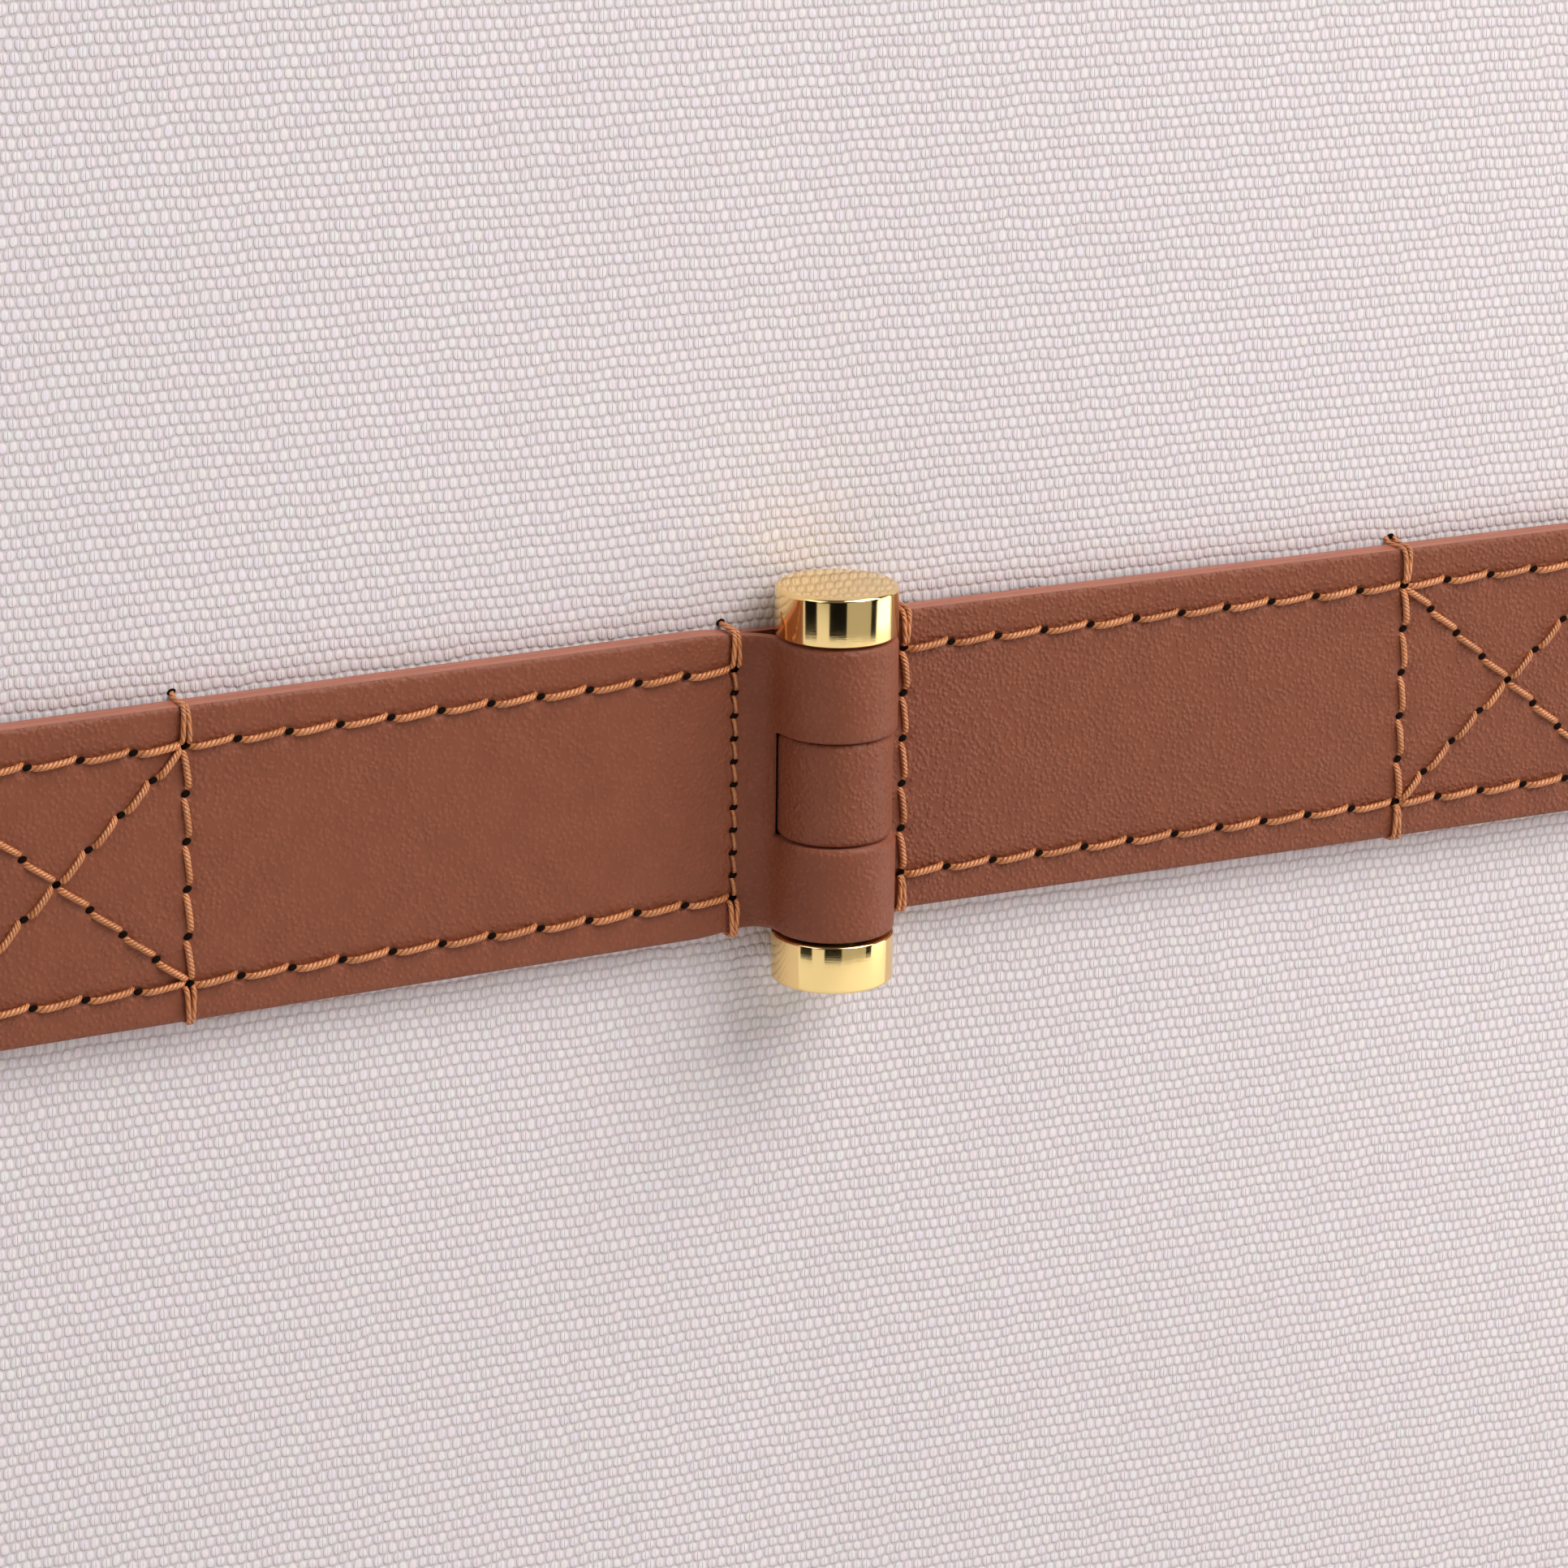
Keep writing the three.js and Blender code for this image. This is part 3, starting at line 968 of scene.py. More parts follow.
@dataclass
class Joined:
    """A stretch of the shell and its body, or the two bodies that meet within it, with the range
    where they meet.
    """

    name: str
    start: float
    end: float
    bodies: tuple[str, ...]
    bend: tuple[float, float] = (0.0, 0.0)


@dataclass
class CanvasShell:
    """Outer canvas, lining, binding, base seam and floor."""

    half_x: float
    half_y: float
    height: float
    wall_foot: float
    canvas: float = 1.0 * MM
    lining_in: float = 5.3 * MM
    lining: float = 0.8 * MM
    binding_drop: float = 18 * MM
    tape_faces: tuple[float, float] = (-1.2 * MM, 7.3 * MM)
    tape_squash: float = 0.55
    seam_insets: tuple[float, float] = (-1.25 * MM, 7.35 * MM)
    seam_rise: float = 2.2 * MM
    seam_pitch: float = 3.4 * MM
    ripple: float = 0.12 * MM
    binding: float = 0.9 * MM
    lap: float = 8 * MM
    step: float = 2.5 * MM

    def __post_init__(self) -> None:
        """Lay out the plan and the stretches that the walls are sewn from."""
        self.path = ShellPath(self.half_x, self.half_y)
        path, lap = self.path, self.lap
        half = path.half_round
        mid = path.arc / 2
        fr = path.front_end + mid
        fold = 9 * MM
        arc = path.arc * 0.72
        self.stretches = [
            Joined("front", -path.front_end + lap, path.front_end - lap,
                   ("front_left_panel", "front_right_panel"), (-fold, fold)),
            Joined("corner_front_right", path.front_end - lap, path.side_start + lap,
                   ("front_right_panel", "right_wall"), (fr - arc, fr + arc)),
            Joined("right", path.side_start + lap, path.back_start - 0.1 * MM, ("right_wall",)),
            Joined("back_left", path.back_start, half - 15 * MM, ("back_left_panel",)),
            Joined("back_fold", half - 15 * MM, half + 15 * MM,
                   ("back_left_panel", "back_right_panel"), (half - fold, half + fold)),
            Joined("back_right", half + 15 * MM, half + path.front_end - lap,
                   ("back_right_panel",)),
            Joined("corner_back_left", half + path.front_end - lap, half + path.side_start + lap,
                   ("back_right_panel", "left_wall"), (half + fr - arc, half + fr + arc)),
            Joined("left", half + path.side_start + lap, 2 * half - path.side_start - lap,
                   ("left_wall",)),
            Joined("corner_front_left", 2 * half - path.side_start - lap,
                   2 * half - path.front_end + lap, ("left_wall", "front_left_panel"),
                   (2 * half - fr - arc, 2 * half - fr + arc)),
        ]

    def cut_length(self, stretch: Joined, inset: float) -> float:
        """How long a stretch's cloth is cut, for its depth below the outer face."""
        stops = [self.path.at(s, inset)[:2] for s in self.steps(stretch.start, stretch.end)]
        return sum(math.dist(a, b) for a, b in zip(stops, stops[1:]))

    def steps(self, start: float, end: float) -> list[float]:
        """Even steps from start to end, finer on the corners and beside the folds."""
        path = self.path
        stops = [0.0, path.front_end, path.side_start, path.side_end, path.back_start,
                 path.half_round, 20 * MM, path.half_round - 20 * MM]
        marks = {start, end}
        for turn in (-2 * path.half_round, 0.0, 2 * path.half_round):
            for stop in stops:
                marks.update(m for m in (turn + stop, turn - stop)
                             if start + 0.5 * MM < m < end - 0.5 * MM)
        marks = sorted(marks)
        made = [start]
        for low, high in zip(marks, marks[1:]):
            fine = self.step / 2 if high - low < 25 * MM else 2 * self.step
            count = max(1, math.ceil((high - low) / fine))
            made += [low + (high - low) * i / count for i in range(1, count + 1)]
        return made

    def swept(self, name: str, start: float, end: float, section: Sequence[tuple[float, float]],
              finish: Finish, ripple: float = 0.0, rise: Sequence[float] | None = None,
              ) -> bpy.types.Object:
        """A closed piece that follows the plan.

        Args:
            name: the piece's name.
            start: where it starts along the plan.
            end: where it ends.
            section: inset and height of a closed outline, clockwise seen along the plan.
            finish: its finish.
            ripple: how far the cloth waves.
            rise: place up the flat cloth of each point of the outline, its height where not given.
        Returns:
            The object.
        """
        points: list[Point] = []
        flat: list[tuple[float, float]] = []
        for s in self.steps(start, end):
            for k, (inset, z) in enumerate(section):
                wave = ripple * math.sin(s * 61.0 + z * 23.0) * math.sin(z * 47.0 - s * 19.0)
                x, y, nx, ny = self.path.at(s, inset)
                points.append((x + nx * wave, y + ny * wave, z))
                flat.append((s, rise[k] if rise else z))
        rows, columns = len(points) // len(section), len(section)
        faces: list[tuple[int, ...]] = list(grow(rows, columns, closed=True))
        last = (rows - 1) * columns
        faces.append(tuple(reversed(range(columns))))
        faces.append(tuple(range(last, last + columns)))
        made = mesh_object(name, points, faces, [finish])
        set_uv(made.data, flat)
        face_out(made.data)
        return made

    def wall_section(self, inset: float, thickness: float, low: float, high: float,
                     ) -> list[tuple[float, float]]:
        """The outline of a layer of a wall, with a step every few millimetres of height."""
        count = max(2, round((high - low) / (5 * MM)))
        up = [low + (high - low) * i / count for i in range(count + 1)]
        return [(inset, z) for z in up] + [(inset + thickness, z) for z in reversed(up)]

    def binding_section(self) -> tuple[list[tuple[float, float]], list[float]]:
        """The outline of the folded binding, and its place across the flat tape."""
        outside, inside = self.tape_faces
        foot = self.height - self.binding_drop
        halfway = foot + 0.5 * self.binding_drop
        radius = (inside - outside) / 2
        middle = (inside + outside) / 2
        outer = [(outside, foot), (outside, halfway)]
        inner = [(outside + self.binding, foot), (outside + self.binding, halfway)]
        rise = radius * self.tape_squash
        top = self.height - rise
        for i in range(13):
            angle = math.pi * (1 - i / 12)
            outer.append((middle + radius * math.cos(angle),
                          top + rise * math.sin(angle)))
            thin = radius - self.binding
            inner.append((middle + thin * math.cos(angle),
                          top + (rise - self.binding) * math.sin(angle)))
        outer += [(inside, halfway), (inside, foot)]
        inner += [(inside - self.binding, halfway), (inside - self.binding, foot)]
        across = [0.0]
        for (a, b), (c, d) in zip(outer, outer[1:]):
            across.append(across[-1] + math.hypot(c - a, d - b))
        return outer + inner[::-1], across + across[::-1]

    def attach(self, piece: bpy.types.Object, stretch: Joined, inset: float = 0.0) -> None:
        """Ride a piece on its body; a piece between two bodies only has its transform baked."""
        if len(stretch.bodies) == 1:
            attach(piece, stretch.bodies[0])
            return
        start, end = (self.path.at(s, inset)[:2] for s in stretch.bend)
        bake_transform(piece)

    def nodes_of(self, stretch: Joined, layer: str) -> list[str]:
        """The frame's nodes of a layer that a stretch stands for."""
        names = {
            "front": ("front_left", "front_right"), "right": ("right",), "left": ("left",),
            "back_left": ("back_left",), "back_right": ("back_right",),
        }
        return [f"{node}_{layer}" for node in names.get(stretch.name, ())]

    def build(self) -> None:
        """Make every stretch of canvas, lining and binding, and the stitches that hold them."""
        top = self.height - 0.9 * MM - 0.3 * MM
        cloth = self.wall_section(0.0, self.canvas, self.wall_foot, top)
        inside = self.wall_section(self.lining_in, self.lining, self.wall_foot, top)
        tape, across = self.binding_section()
        seam = Sewing("binding", COTTON_THREAD, radius=0.22 * MM, slant=0.12 * MM, rise=0.16 * MM)
        for stretch in self.stretches:
            for layer, section, finish, inset in (
                    ("canvas", cloth, DUCK, 0.0), ("lining", inside, COTTON, self.lining_in)):
                piece = self.swept(f"{stretch.name}_{layer}_cloth", stretch.start, stretch.end,
                                   section, finish, self.ripple if inset == 0.0 else 0.0)
                self.attach(piece, stretch, inset)
                for node in self.nodes_of(stretch, layer):
                    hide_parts(node)
                self.cut_length(stretch, inset)
                log.info("%s", piece.name)
            piece = self.swept(f"{stretch.name}_binding_tape", stretch.start, stretch.end,
                               tape, DUCK, rise=across)
            self.attach(piece, stretch)
            for node in self.nodes_of(stretch, "binding"):
                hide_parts(node)
            self.cut_length(stretch, 3 * MM)
            rows = [self.seam_row(stretch, inset, outward)
                    for inset, outward in zip(self.seam_insets, (1.0, -1.0))]
            stitches = seam.sew(rows, f"{stretch.name}_binding_stitches")
            self.attach(stitches, stretch)
            log.info("%s", stitches.name)
        self.gusset()
        self.patches()
        self.floor()

    def seam_row(self, stretch: Joined, inset: float, outward: float) -> StitchRow:
        """A row of stitches near the binding's lower edge, outside or inside the wall."""
        z = self.height - self.binding_drop + self.seam_rise
        count = max(2, round((stretch.end - stretch.start) / self.seam_pitch))
        holes: list[Point] = []
        away: list[Point] = []
        for i in range(count + 1):
            s = stretch.start + (stretch.end - stretch.start) * i / count
            x, y, nx, ny = self.path.at(s, inset)
            holes.append((x, y, z))
            away.append((outward * nx, outward * ny, 0.0))
        if outward < 0:
            holes.reverse()
            away.reverse()
        return StitchRow(holes, away)

    def gusset(self) -> None:
        """The under-lap of the one corner where the cloth isn't joined.

        It rides on the back panel and closes the corner while the walls stand. The corner
        opens as they fold.
        """
        path = self.path
        section = self.wall_section(1.25 * MM, 0.7 * MM, self.wall_foot, self.height - 2 * MM)
        piece = self.swept("corner_back_right_gusset", path.side_end + 0.55 * path.arc,
                           path.back_start + 12 * MM, section, DUCK)
        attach(piece, "back_left_panel")
        log.info("%s", piece.name)

    def patches(self) -> None:
        """The reinforcing patches behind the sewn ends of the straps."""
        for side in Side:
            for word in ("left", "right"):
                node = f"{side.word}_{word}_patch"
                low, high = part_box(node)
                middle = (low[0] + high[0]) / 2
                along = middle if side is Side.FRONT else self.path.half_round - middle
                half = (high[0] - low[0]) / 2
                section = self.wall_section(1.35 * MM, 0.7 * MM, low[2], high[2])
                piece = self.swept(node + "_cloth", along - half, along + half, section, DUCK)
                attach(piece, f"{side.word}_{word}_panel")
                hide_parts(node)
                log.info("%s", piece.name)

    def floor(self) -> None:
        """The floor canvas and the corded seam around its edge."""
        low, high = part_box("floor_canvas")
        thick = high[2] - low[2]
        count = len(self.steps(0.0, 2 * self.path.half_round)) - 1
        stops = [2 * self.path.half_round * i / count for i in range(count)]
        rim = [(0.3 * MM, 0.0), (0.0, 0.3 * thick), (0.0, 0.7 * thick), (0.3 * MM, thick)]
        points: list[Point] = []
        for inset, z in rim:
            for s in stops:
                x, y, nx, ny = self.path.at(s, 4 * MM)
                points.append((x + nx * (4 * MM - inset), y + ny * (4 * MM - inset), z))
        faces: list[tuple[int, ...]] = list(grow(len(rim), count, closed=True))
        faces.append(tuple(reversed(range(count))))
        faces.append(tuple(range((len(rim) - 1) * count, len(rim) * count)))
        cloth = mesh_object("floor_cloth", points, faces, [DUCK])
        set_uv(cloth.data, [(p[0], p[1]) for p in points])
        face_out(cloth.data)
        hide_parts("floor_canvas")

        tape_low, tape_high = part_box("base_seam_tape")
        middle = (tape_low[2] + tape_high[2]) / 2
        radius = (tape_high[2] - tape_low[2]) / 2
        section = [(radius + 3.4 * MM * (k in (3, 4, 5)) - radius * math.cos(2 * math.pi * k / 10),
                    middle - radius * math.sin(2 * math.pi * k / 10)) for k in range(10)]
        cord = self.swept("base_seam_cord", 0.0, 2 * self.path.half_round - 0.05 * MM,
                          section, DUCK)
        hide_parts("base_seam_tape")
        for piece in (cloth, cord):
            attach(piece, "left_wall")
            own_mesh(piece)
            log.info("%s", piece.name)


# ---------------------------------------------------------------------------------------------
# The strap hinge


@dataclass
class StrapHinge:
    """A leather strap in two halves that wrap a pin in turn, sewn flat to the wall."""

    side: Side
    axis: Point
    strap_end: float
    half_height: float = 12.5 * MM
    barrel_half: float = 12.0 * MM
    thickness: float = 2.3 * MM
    bore: float = 3.75 * MM
    axis_to_strap: float = 2.8 * MM
    radius: float = 4.9 * MM
    middle_radius: float = 4.58 * MM
    back_slot: dict[str, float] = field(
        default_factory=lambda: {"left": 2.9 * MM, "right": 3.4 * MM})
    fillet: float = 2.3 * MM
    lip_deg: dict[str, float] = field(default_factory=lambda: {"left": 17.0, "right": 34.0})
    row_inset: float = 3.05 * MM
    hinge_row: float = 7.6 * MM
    box_row: float = 54.5 * MM
    box_end: float = 75.7 * MM
    pitch: float = 4.15 * MM
    grid: float = 0.40 * MM
    middle_low: float = -4.09 * MM
    middle_high: float = 4.24 * MM
    gap: float = 0.22 * MM
    fillet_steps: int = 8
    skived: float = 0.42 * MM
    bow: FoldBow = field(default_factory=FoldBow)

    def section(self, radius: float) -> list[tuple[float, float, float, float, float]]:
        """The folded strap in plan, for the left half with the pin axis at 0, 0.

        Args:
            radius: the knuckle's outer radius.
        Returns:
            x, y, the direction out of the hide in x and y, and the place along the hide. y grows
            towards the wall.
        """
        front = self.axis_to_strap
        reach = self.reach(radius)
        touch = math.atan2(front - self.fillet, -reach)
        points: list[tuple[float, float, float, float]] = []
        start = -self.strap_end
        count = round((-reach - start) / self.grid)
        for i in range(count):
            points.append((start + (-reach - start) * i / count, front, 0.0, -1.0))
        inner = touch - math.pi / 2
        for i in range(self.fillet_steps):
            angle = math.pi / 2 - inner * i / self.fillet_steps
            points.append((-reach + self.fillet * math.cos(angle),
                           front - self.fillet + self.fillet * math.sin(angle),
                           -math.cos(angle), -math.sin(angle)))
        sweep = 2.5 * math.pi - touch
        count = round(2 * radius * sweep / self.grid)
        for i in range(count + 1):
            angle = touch + sweep * i / count
            points.append((radius * math.cos(angle), radius * math.sin(angle),
                           math.cos(angle), math.sin(angle)))
        back = front + self.thickness
        end_x, end_y = points[-1][:2]
        count = round((end_x - start) / (4 * self.grid))
        for i in range(1, count + 1):
            x = end_x + (start - end_x) * i / count
            settle = min(1.0, (end_x - x) / (4 * MM))
            points.append((x, end_y + (back - end_y) * settle, 0.0, 1.0))
        out: list[tuple[float, float, float, float, float]] = []
        along = 0.0
        for i, (x, y, nx, ny) in enumerate(points):
            if i:
                along += math.hypot(x - points[i - 1][0], y - points[i - 1][1])
            out.append((x, y, nx, ny, along))
        return out

    def reach(self, radius: float) -> float:
        """How far from the axis the strap starts to sweep up onto a knuckle of a radius."""
        return math.sqrt((radius + self.fillet) ** 2 - (self.axis_to_strap - self.fillet) ** 2)

    def heights(self) -> list[float]:
        """Places up the strap, with stops at the edges of the knuckles and a rounded rim."""
        stops = [-self.half_height, self.middle_low - self.gap / 2, self.middle_high + self.gap / 2,
                 self.half_height]
        edges = (0.0, 0.12 * MM, 0.4 * MM)
        values: list[float] = []
        for low, high in zip(stops, stops[1:]):
            low_gap = self.gap / 2 if low > stops[0] else 0.0
            high_gap = self.gap / 2 if high < stops[-1] else 0.0
            count = round((high - low) / self.grid)
            inner_low, inner_high = low + low_gap, high - high_gap
            values += [inner_low + e for e in edges]
            span = inner_high - inner_low - 2 * edges[-1]
            values += [inner_low + edges[-1] + span * i / count for i in range(1, count)]
            values += [inner_high - e for e in reversed(edges)]
        return values

    def rows(self, word: str) -> list[list[tuple[float, float]]]:
        """The rows of needle holes of a half drawn as the left one, as x and z on its face."""
        row_z = self.half_height - self.row_inset
        near, box, end = -self.hinge_row, -self.box_row, -self.box_end
        near_pitch = self.pitch * (0.47 if word == "left" else 0.9)

        def line(a: tuple[float, float], b: tuple[float, float],
                 pitch: float) -> list[tuple[float, float]]:
            """Even holes from a to b."""
            count = max(1, round(math.dist(a, b) / pitch))
            return [(a[0] + (b[0] - a[0]) * i / count, a[1] + (b[1] - a[1]) * i / count)
                    for i in range(count + 1)]

        rows = [line((end, z), (near, z), self.pitch) for z in (row_z, -row_z)]
        upright, slanting = self.pitch * 0.93, self.pitch * 0.88
        rows += [line((x, -row_z), (x, row_z), upright) for x in (box, end)]
        rows.append(line((end, -row_z), (box, row_z), slanting))
        rows.append(line((end, row_z), (box, -row_z), slanting))
        rows.append(line((near, -row_z), (near, row_z), near_pitch))
        return rows

    def pressed(self, x: float, z: float, holes: np.ndarray) -> float:
        """How far needle holes and stitches press the hide in at a place on its face."""
        row_z = self.half_height - self.row_inset
        away = np.hypot(holes[:, 0] - x, holes[:, 1] - z)
        dimple = 0.26 * MM * float(np.exp(-(away / (0.55 * MM)) ** 2).max())
        groove = 0.07 * MM * math.exp(-((abs(z) - row_z) / (0.5 * MM)) ** 2)
        crown = 0.14 * MM * max(0.0, 1 - (z / row_z) ** 2)
        return dimple + groove - crown

    def place(self, x: float, y: float, z: float, mirror: float) -> Point:
        """A point of the left half's own frame, in the row frame, on this hinge's half and side."""
        bowed = -self.bow.at(x)
        return self.side.turn(mirror * x, self.axis[1] + y + bowed, self.axis[2] + z)

    def half(self, word: str) -> bpy.types.Object:
        """One half of the strap: hide folded round the pin and back on itself.

        Args:
            word: left, which has the outer knuckles, or right, which has the middle one.
        Returns:
            The piece.
        """
        mirror = -1.0 if word == "right" else 1.0
        radius = self.middle_radius if word == "right" else self.radius
        section, heights, reach = self.section(radius), self.heights(), self.reach(radius)
        holes = np.array([hole for row in self.rows(word) for hole in row])
        columns = len(heights)
        outer: list[Point] = []
        inner: list[Point] = []
        flat: list[tuple[float, float]] = []
        low_slit, high_slit = self.middle_low - self.gap / 2, self.middle_high + self.gap / 2
        loop_start = next(i for i, p in enumerate(section) if p[0] > -reach) + self.fillet_steps - 1
        back_start = len(section) - sum(1 for p in section if p[3] > 0.999 and p[1] > 0)
        for i, (x, y, nx, ny, along) in enumerate(section):
            loop = loop_start <= i < back_start
            sweep = loop_start - self.fillet_steps <= i < loop_start
            for z in heights:
                is_middle = low_slit < z < high_slit
                knuckle = is_middle if word == "right" else not is_middle
                px, py, pz, qx, qy = x, y, z, nx, ny
                layer = radius - self.bore if loop or sweep else self.thickness / 2 - 0.01 * MM
                if sweep and not knuckle:
                    part = (i - loop_start + self.fillet_steps) / (self.fillet_steps - 1)
                    angle = math.pi / 2 - part * math.radians(90 - self.lip_deg[word])
                    qx, qy = -math.cos(angle), -math.sin(angle)
                    px = -reach - self.fillet * qx
                    py = self.axis_to_strap - self.fillet - self.fillet * qy
                    layer -= part * (layer - self.skived)
                if word == "left" and not is_middle:
                    pz = self.tapered(x, z, low_slit, high_slit, loop)
                dip = self.rim_dip(z, loop, low_slit, high_slit)
                if ny < 0 and x < -self.hinge_row + 1.2 * MM and y > 0:
                    dip += self.pressed(x, z, holes)
                outer.append(self.place(px - qx * dip, py - qy * dip, pz, mirror))
                inner.append(self.place(px - qx * layer, py - qy * layer, pz, mirror))
                flat.append((along, z))
        count = len(outer)
        faces: list[tuple[int, ...]] = []
        edges: set[tuple[int, int]] = set()
        for i in range(len(section) - 1):
            slotted = i < back_start or section[i][0] > -self.back_slot[word]
            beyond = i + 1 >= loop_start and slotted
            for j in range(columns - 1):
                middle = (heights[j] + heights[j + 1]) / 2
                is_middle = low_slit < middle < high_slit
                knuckle = is_middle if word == "right" else not is_middle
                slit = min(abs(middle - low_slit), abs(middle - high_slit)) < self.gap / 2 - 1e-6
                if heights[j + 1] - heights[j] < 1e-9 or beyond and (slit or not knuckle):
                    continue
                here, ahead = i * columns + j, (i + 1) * columns + j
                quad = (here, here + 1, ahead + 1, ahead)
                faces += [quad, tuple(count + k for k in reversed(quad))]
                edges.update(zip(quad, quad[1:] + quad[:1]))
        body = len(faces)
        faces += [(b, a, count + a, count + b) for a, b in sorted(edges) if (b, a) not in edges]
        hide = HIDE_SMOOTH if word == "left" else HIDE_PEBBLED
        made = mesh_object(f"{self.side.word}_strap_{word}_hide", outer + inner, faces,
                           [hide, EDGE_PAINT_AND_LIGHT])
        # Index 1 gives the edges the edge colour, which holds painted light.
        paints = np.array([0] * body + [1] * (len(faces) - body), np.int32)
        made.data.polygons.foreach_set("material_index", paints)
        set_uv(made.data, flat + [(u, v + 0.05) for u, v in flat])
        face_out(made.data)
        return made

    def tapered(self, x: float, z: float, low: float, high: float, loop: bool) -> float:
        """A height on the outer bands, drawn in as the strap narrows onto the barrel."""
        part = 1.0 if loop else min(1.0, max(0.0, (x + 11 * MM) / (6 * MM)))
        part = part * part * (3 - 2 * part)
        pull = part * (self.half_height - self.barrel_half)
        if z > high:
            return z - pull * (z - high) / (self.half_height - high)
        return z + pull * (low - z) / (low + self.half_height)

    def rim_dip(self, z: float, loop: bool, low: float, high: float) -> float:
        """How far a rounded cut edge falls away at a height."""
        rim = self.half_height - abs(z)
        if loop:
            rim = min(rim, abs(abs(z - low) - self.gap / 2), abs(abs(z - high) - self.gap / 2))
        return 0.22 * MM * max(0.0, 1 - rim / (0.4 * MM)) ** 2

    def stitch_rows(self, word: str, mirror: float) -> list[StitchRow]:
        """The rows of holes in the row frame, for sewing; the last is the one by the hinge."""
        face = self.axis_to_strap
        made = []
        for row in self.rows(word):
            holes = [self.place(x, face, z, mirror) for x, z in row]
            if mirror * self.side.value < 0 and row[0][1] == row[-1][1]:
                holes.reverse()
            made.append(StitchRow(holes, [self.side.turn(0.0, -1.0, 0.0)] * len(holes)))
        return made

    def edge_threads(self, word: str, mirror: float) -> tuple[bpy.types.Object, bpy.types.Object]:
        """The back-tacked threads over the strap's edges into the canvas, and their holes as dots
        of painted shade.
        """
        face = self.axis_to_strap
        row_z = self.half_height - self.row_inset
        wall = face + self.thickness + 0.3 * MM
        radius = 0.21 * MM
        paths: list[list[Vector]] = []
        rows: list[StitchRow] = []
        for x, above in ((-self.hinge_row, 0.1 * MM), (-self.box_row, 0.4 * MM)):
            for up in (1.0, -1.0):
                for k, shift in enumerate((-0.2 * MM, 0.2 * MM)):
                    lean = 0.14 * MM * (1 if k else -1) * mirror
                    lay = [
                        (shift + lean, face + 0.15 * MM, row_z + 0.25 * MM),
                        (shift + lean * 0.6, face - 0.30 * MM, row_z + 0.6 * MM),
                        (shift, face - 0.34 * MM, self.half_height - 0.9 * MM),
                        (shift - lean * 0.4, face - 0.22 * MM, self.half_height - 0.12 * MM),
                        (shift - lean * 0.8, face + 0.35 * MM, self.half_height + 0.12 * MM),
                        (shift - lean * 1.2, face + self.thickness - 0.2 * MM,
                         self.half_height + 0.1 * MM),
                        (shift - lean * 1.4, wall - 0.1 * MM, self.half_height + above),
                        (shift - lean * 1.4, wall + 0.5 * MM, self.half_height + above),
                    ]
                    laid = [Vector(self.place(x + a, b, up * c, mirror)) for a, b, c in lay]
                    paths.append(smooth_path(laid))
                hole = self.place(x, wall - 0.04 * MM,
                                  up * (self.half_height + above + 0.1 * MM), mirror)
                rows.append(StitchRow([hole], [self.side.turn(0.0, -1.0, 0.0)]))
        name = f"{self.side.word}_strap_{word}_edge"
        threads = thread_tubes(name + "_threads", paths, radius, WAXED_THREAD)
        return threads, Sewing("strap", WAXED_THREAD).pierce(rows, name + "_holes")

    def cap(self, word: str) -> bpy.types.Object:
        """A polished cap with softly rounded rims and the bore that the pin's spigot fills.

        Args:
            word: top or bottom.
        Returns:
            The piece.
        """
        node = f"{self.side.word}_pin_cap_{word}"
        low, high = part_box(node)
        centre = ((low[0] + high[0]) / 2, (low[1] + high[1]) / 2, 0.0)
        radius = (high[0] - low[0]) / 2
        rim, foot, crown = 0.34 * MM, 0.18 * MM, 0.10 * MM
        bore = 2.3 * MM
        up = word == "top"
        span = high[2] - low[2]
        profile = [(0.0, bore), (1.2 * MM, bore), (bore, bore), (bore, 1.2 * MM),
                   (bore, 0.0), (radius - 1 * MM, 0.0), (radius - foot, 0.0)]
        for start, soft, height in ((-math.pi / 2, foot, foot), (0.0, rim, span - rim - crown)):
            for i in range(9):
                angle = start + i / 8 * math.pi / 2
                profile.append((radius - soft + soft * math.cos(angle),
                                height + soft * math.sin(angle)))
        flat = radius - rim
        profile += [(flat * (1 - k / 6), span - crown * (1 - k / 6) ** 2) for k in range(1, 6)]
        profile.append((0.0, span))
        if not up:
            profile = [(r, span - h) for r, h in reversed(profile)]
        made = turned(f"{node}_turned", profile, (centre[0], centre[1], low[2]), GILT)
        face_out(made.data)
        return made

    def build(self) -> None:
        """Make the strap halves, their sewing, and the caps, and put each on its body."""
        sewing = Sewing("strap", WAXED_THREAD)
        fine = Sewing("strap", WAXED_THREAD, radius=0.17 * MM, slant=0.3 * MM, rise=0.2 * MM)
        for word in ("left", "right"):
            mirror = -1.0 if word == "right" else 1.0
            panel = f"{self.side.word}_{word}_panel"
            hide = self.half(word)
            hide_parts(f"{self.side.word}_strap_{word}")
            rows = self.stitch_rows(word, mirror)
            name = f"{self.side.word}_strap_{word}"
            stitches = sewing.sew(rows[:-1], name + "_stitches")
            near = fine.sew(rows[-1:], name + "_hinge_stitches") if word == "left" else \
                sewing.sew(rows[-1:], name + "_hinge_stitches")
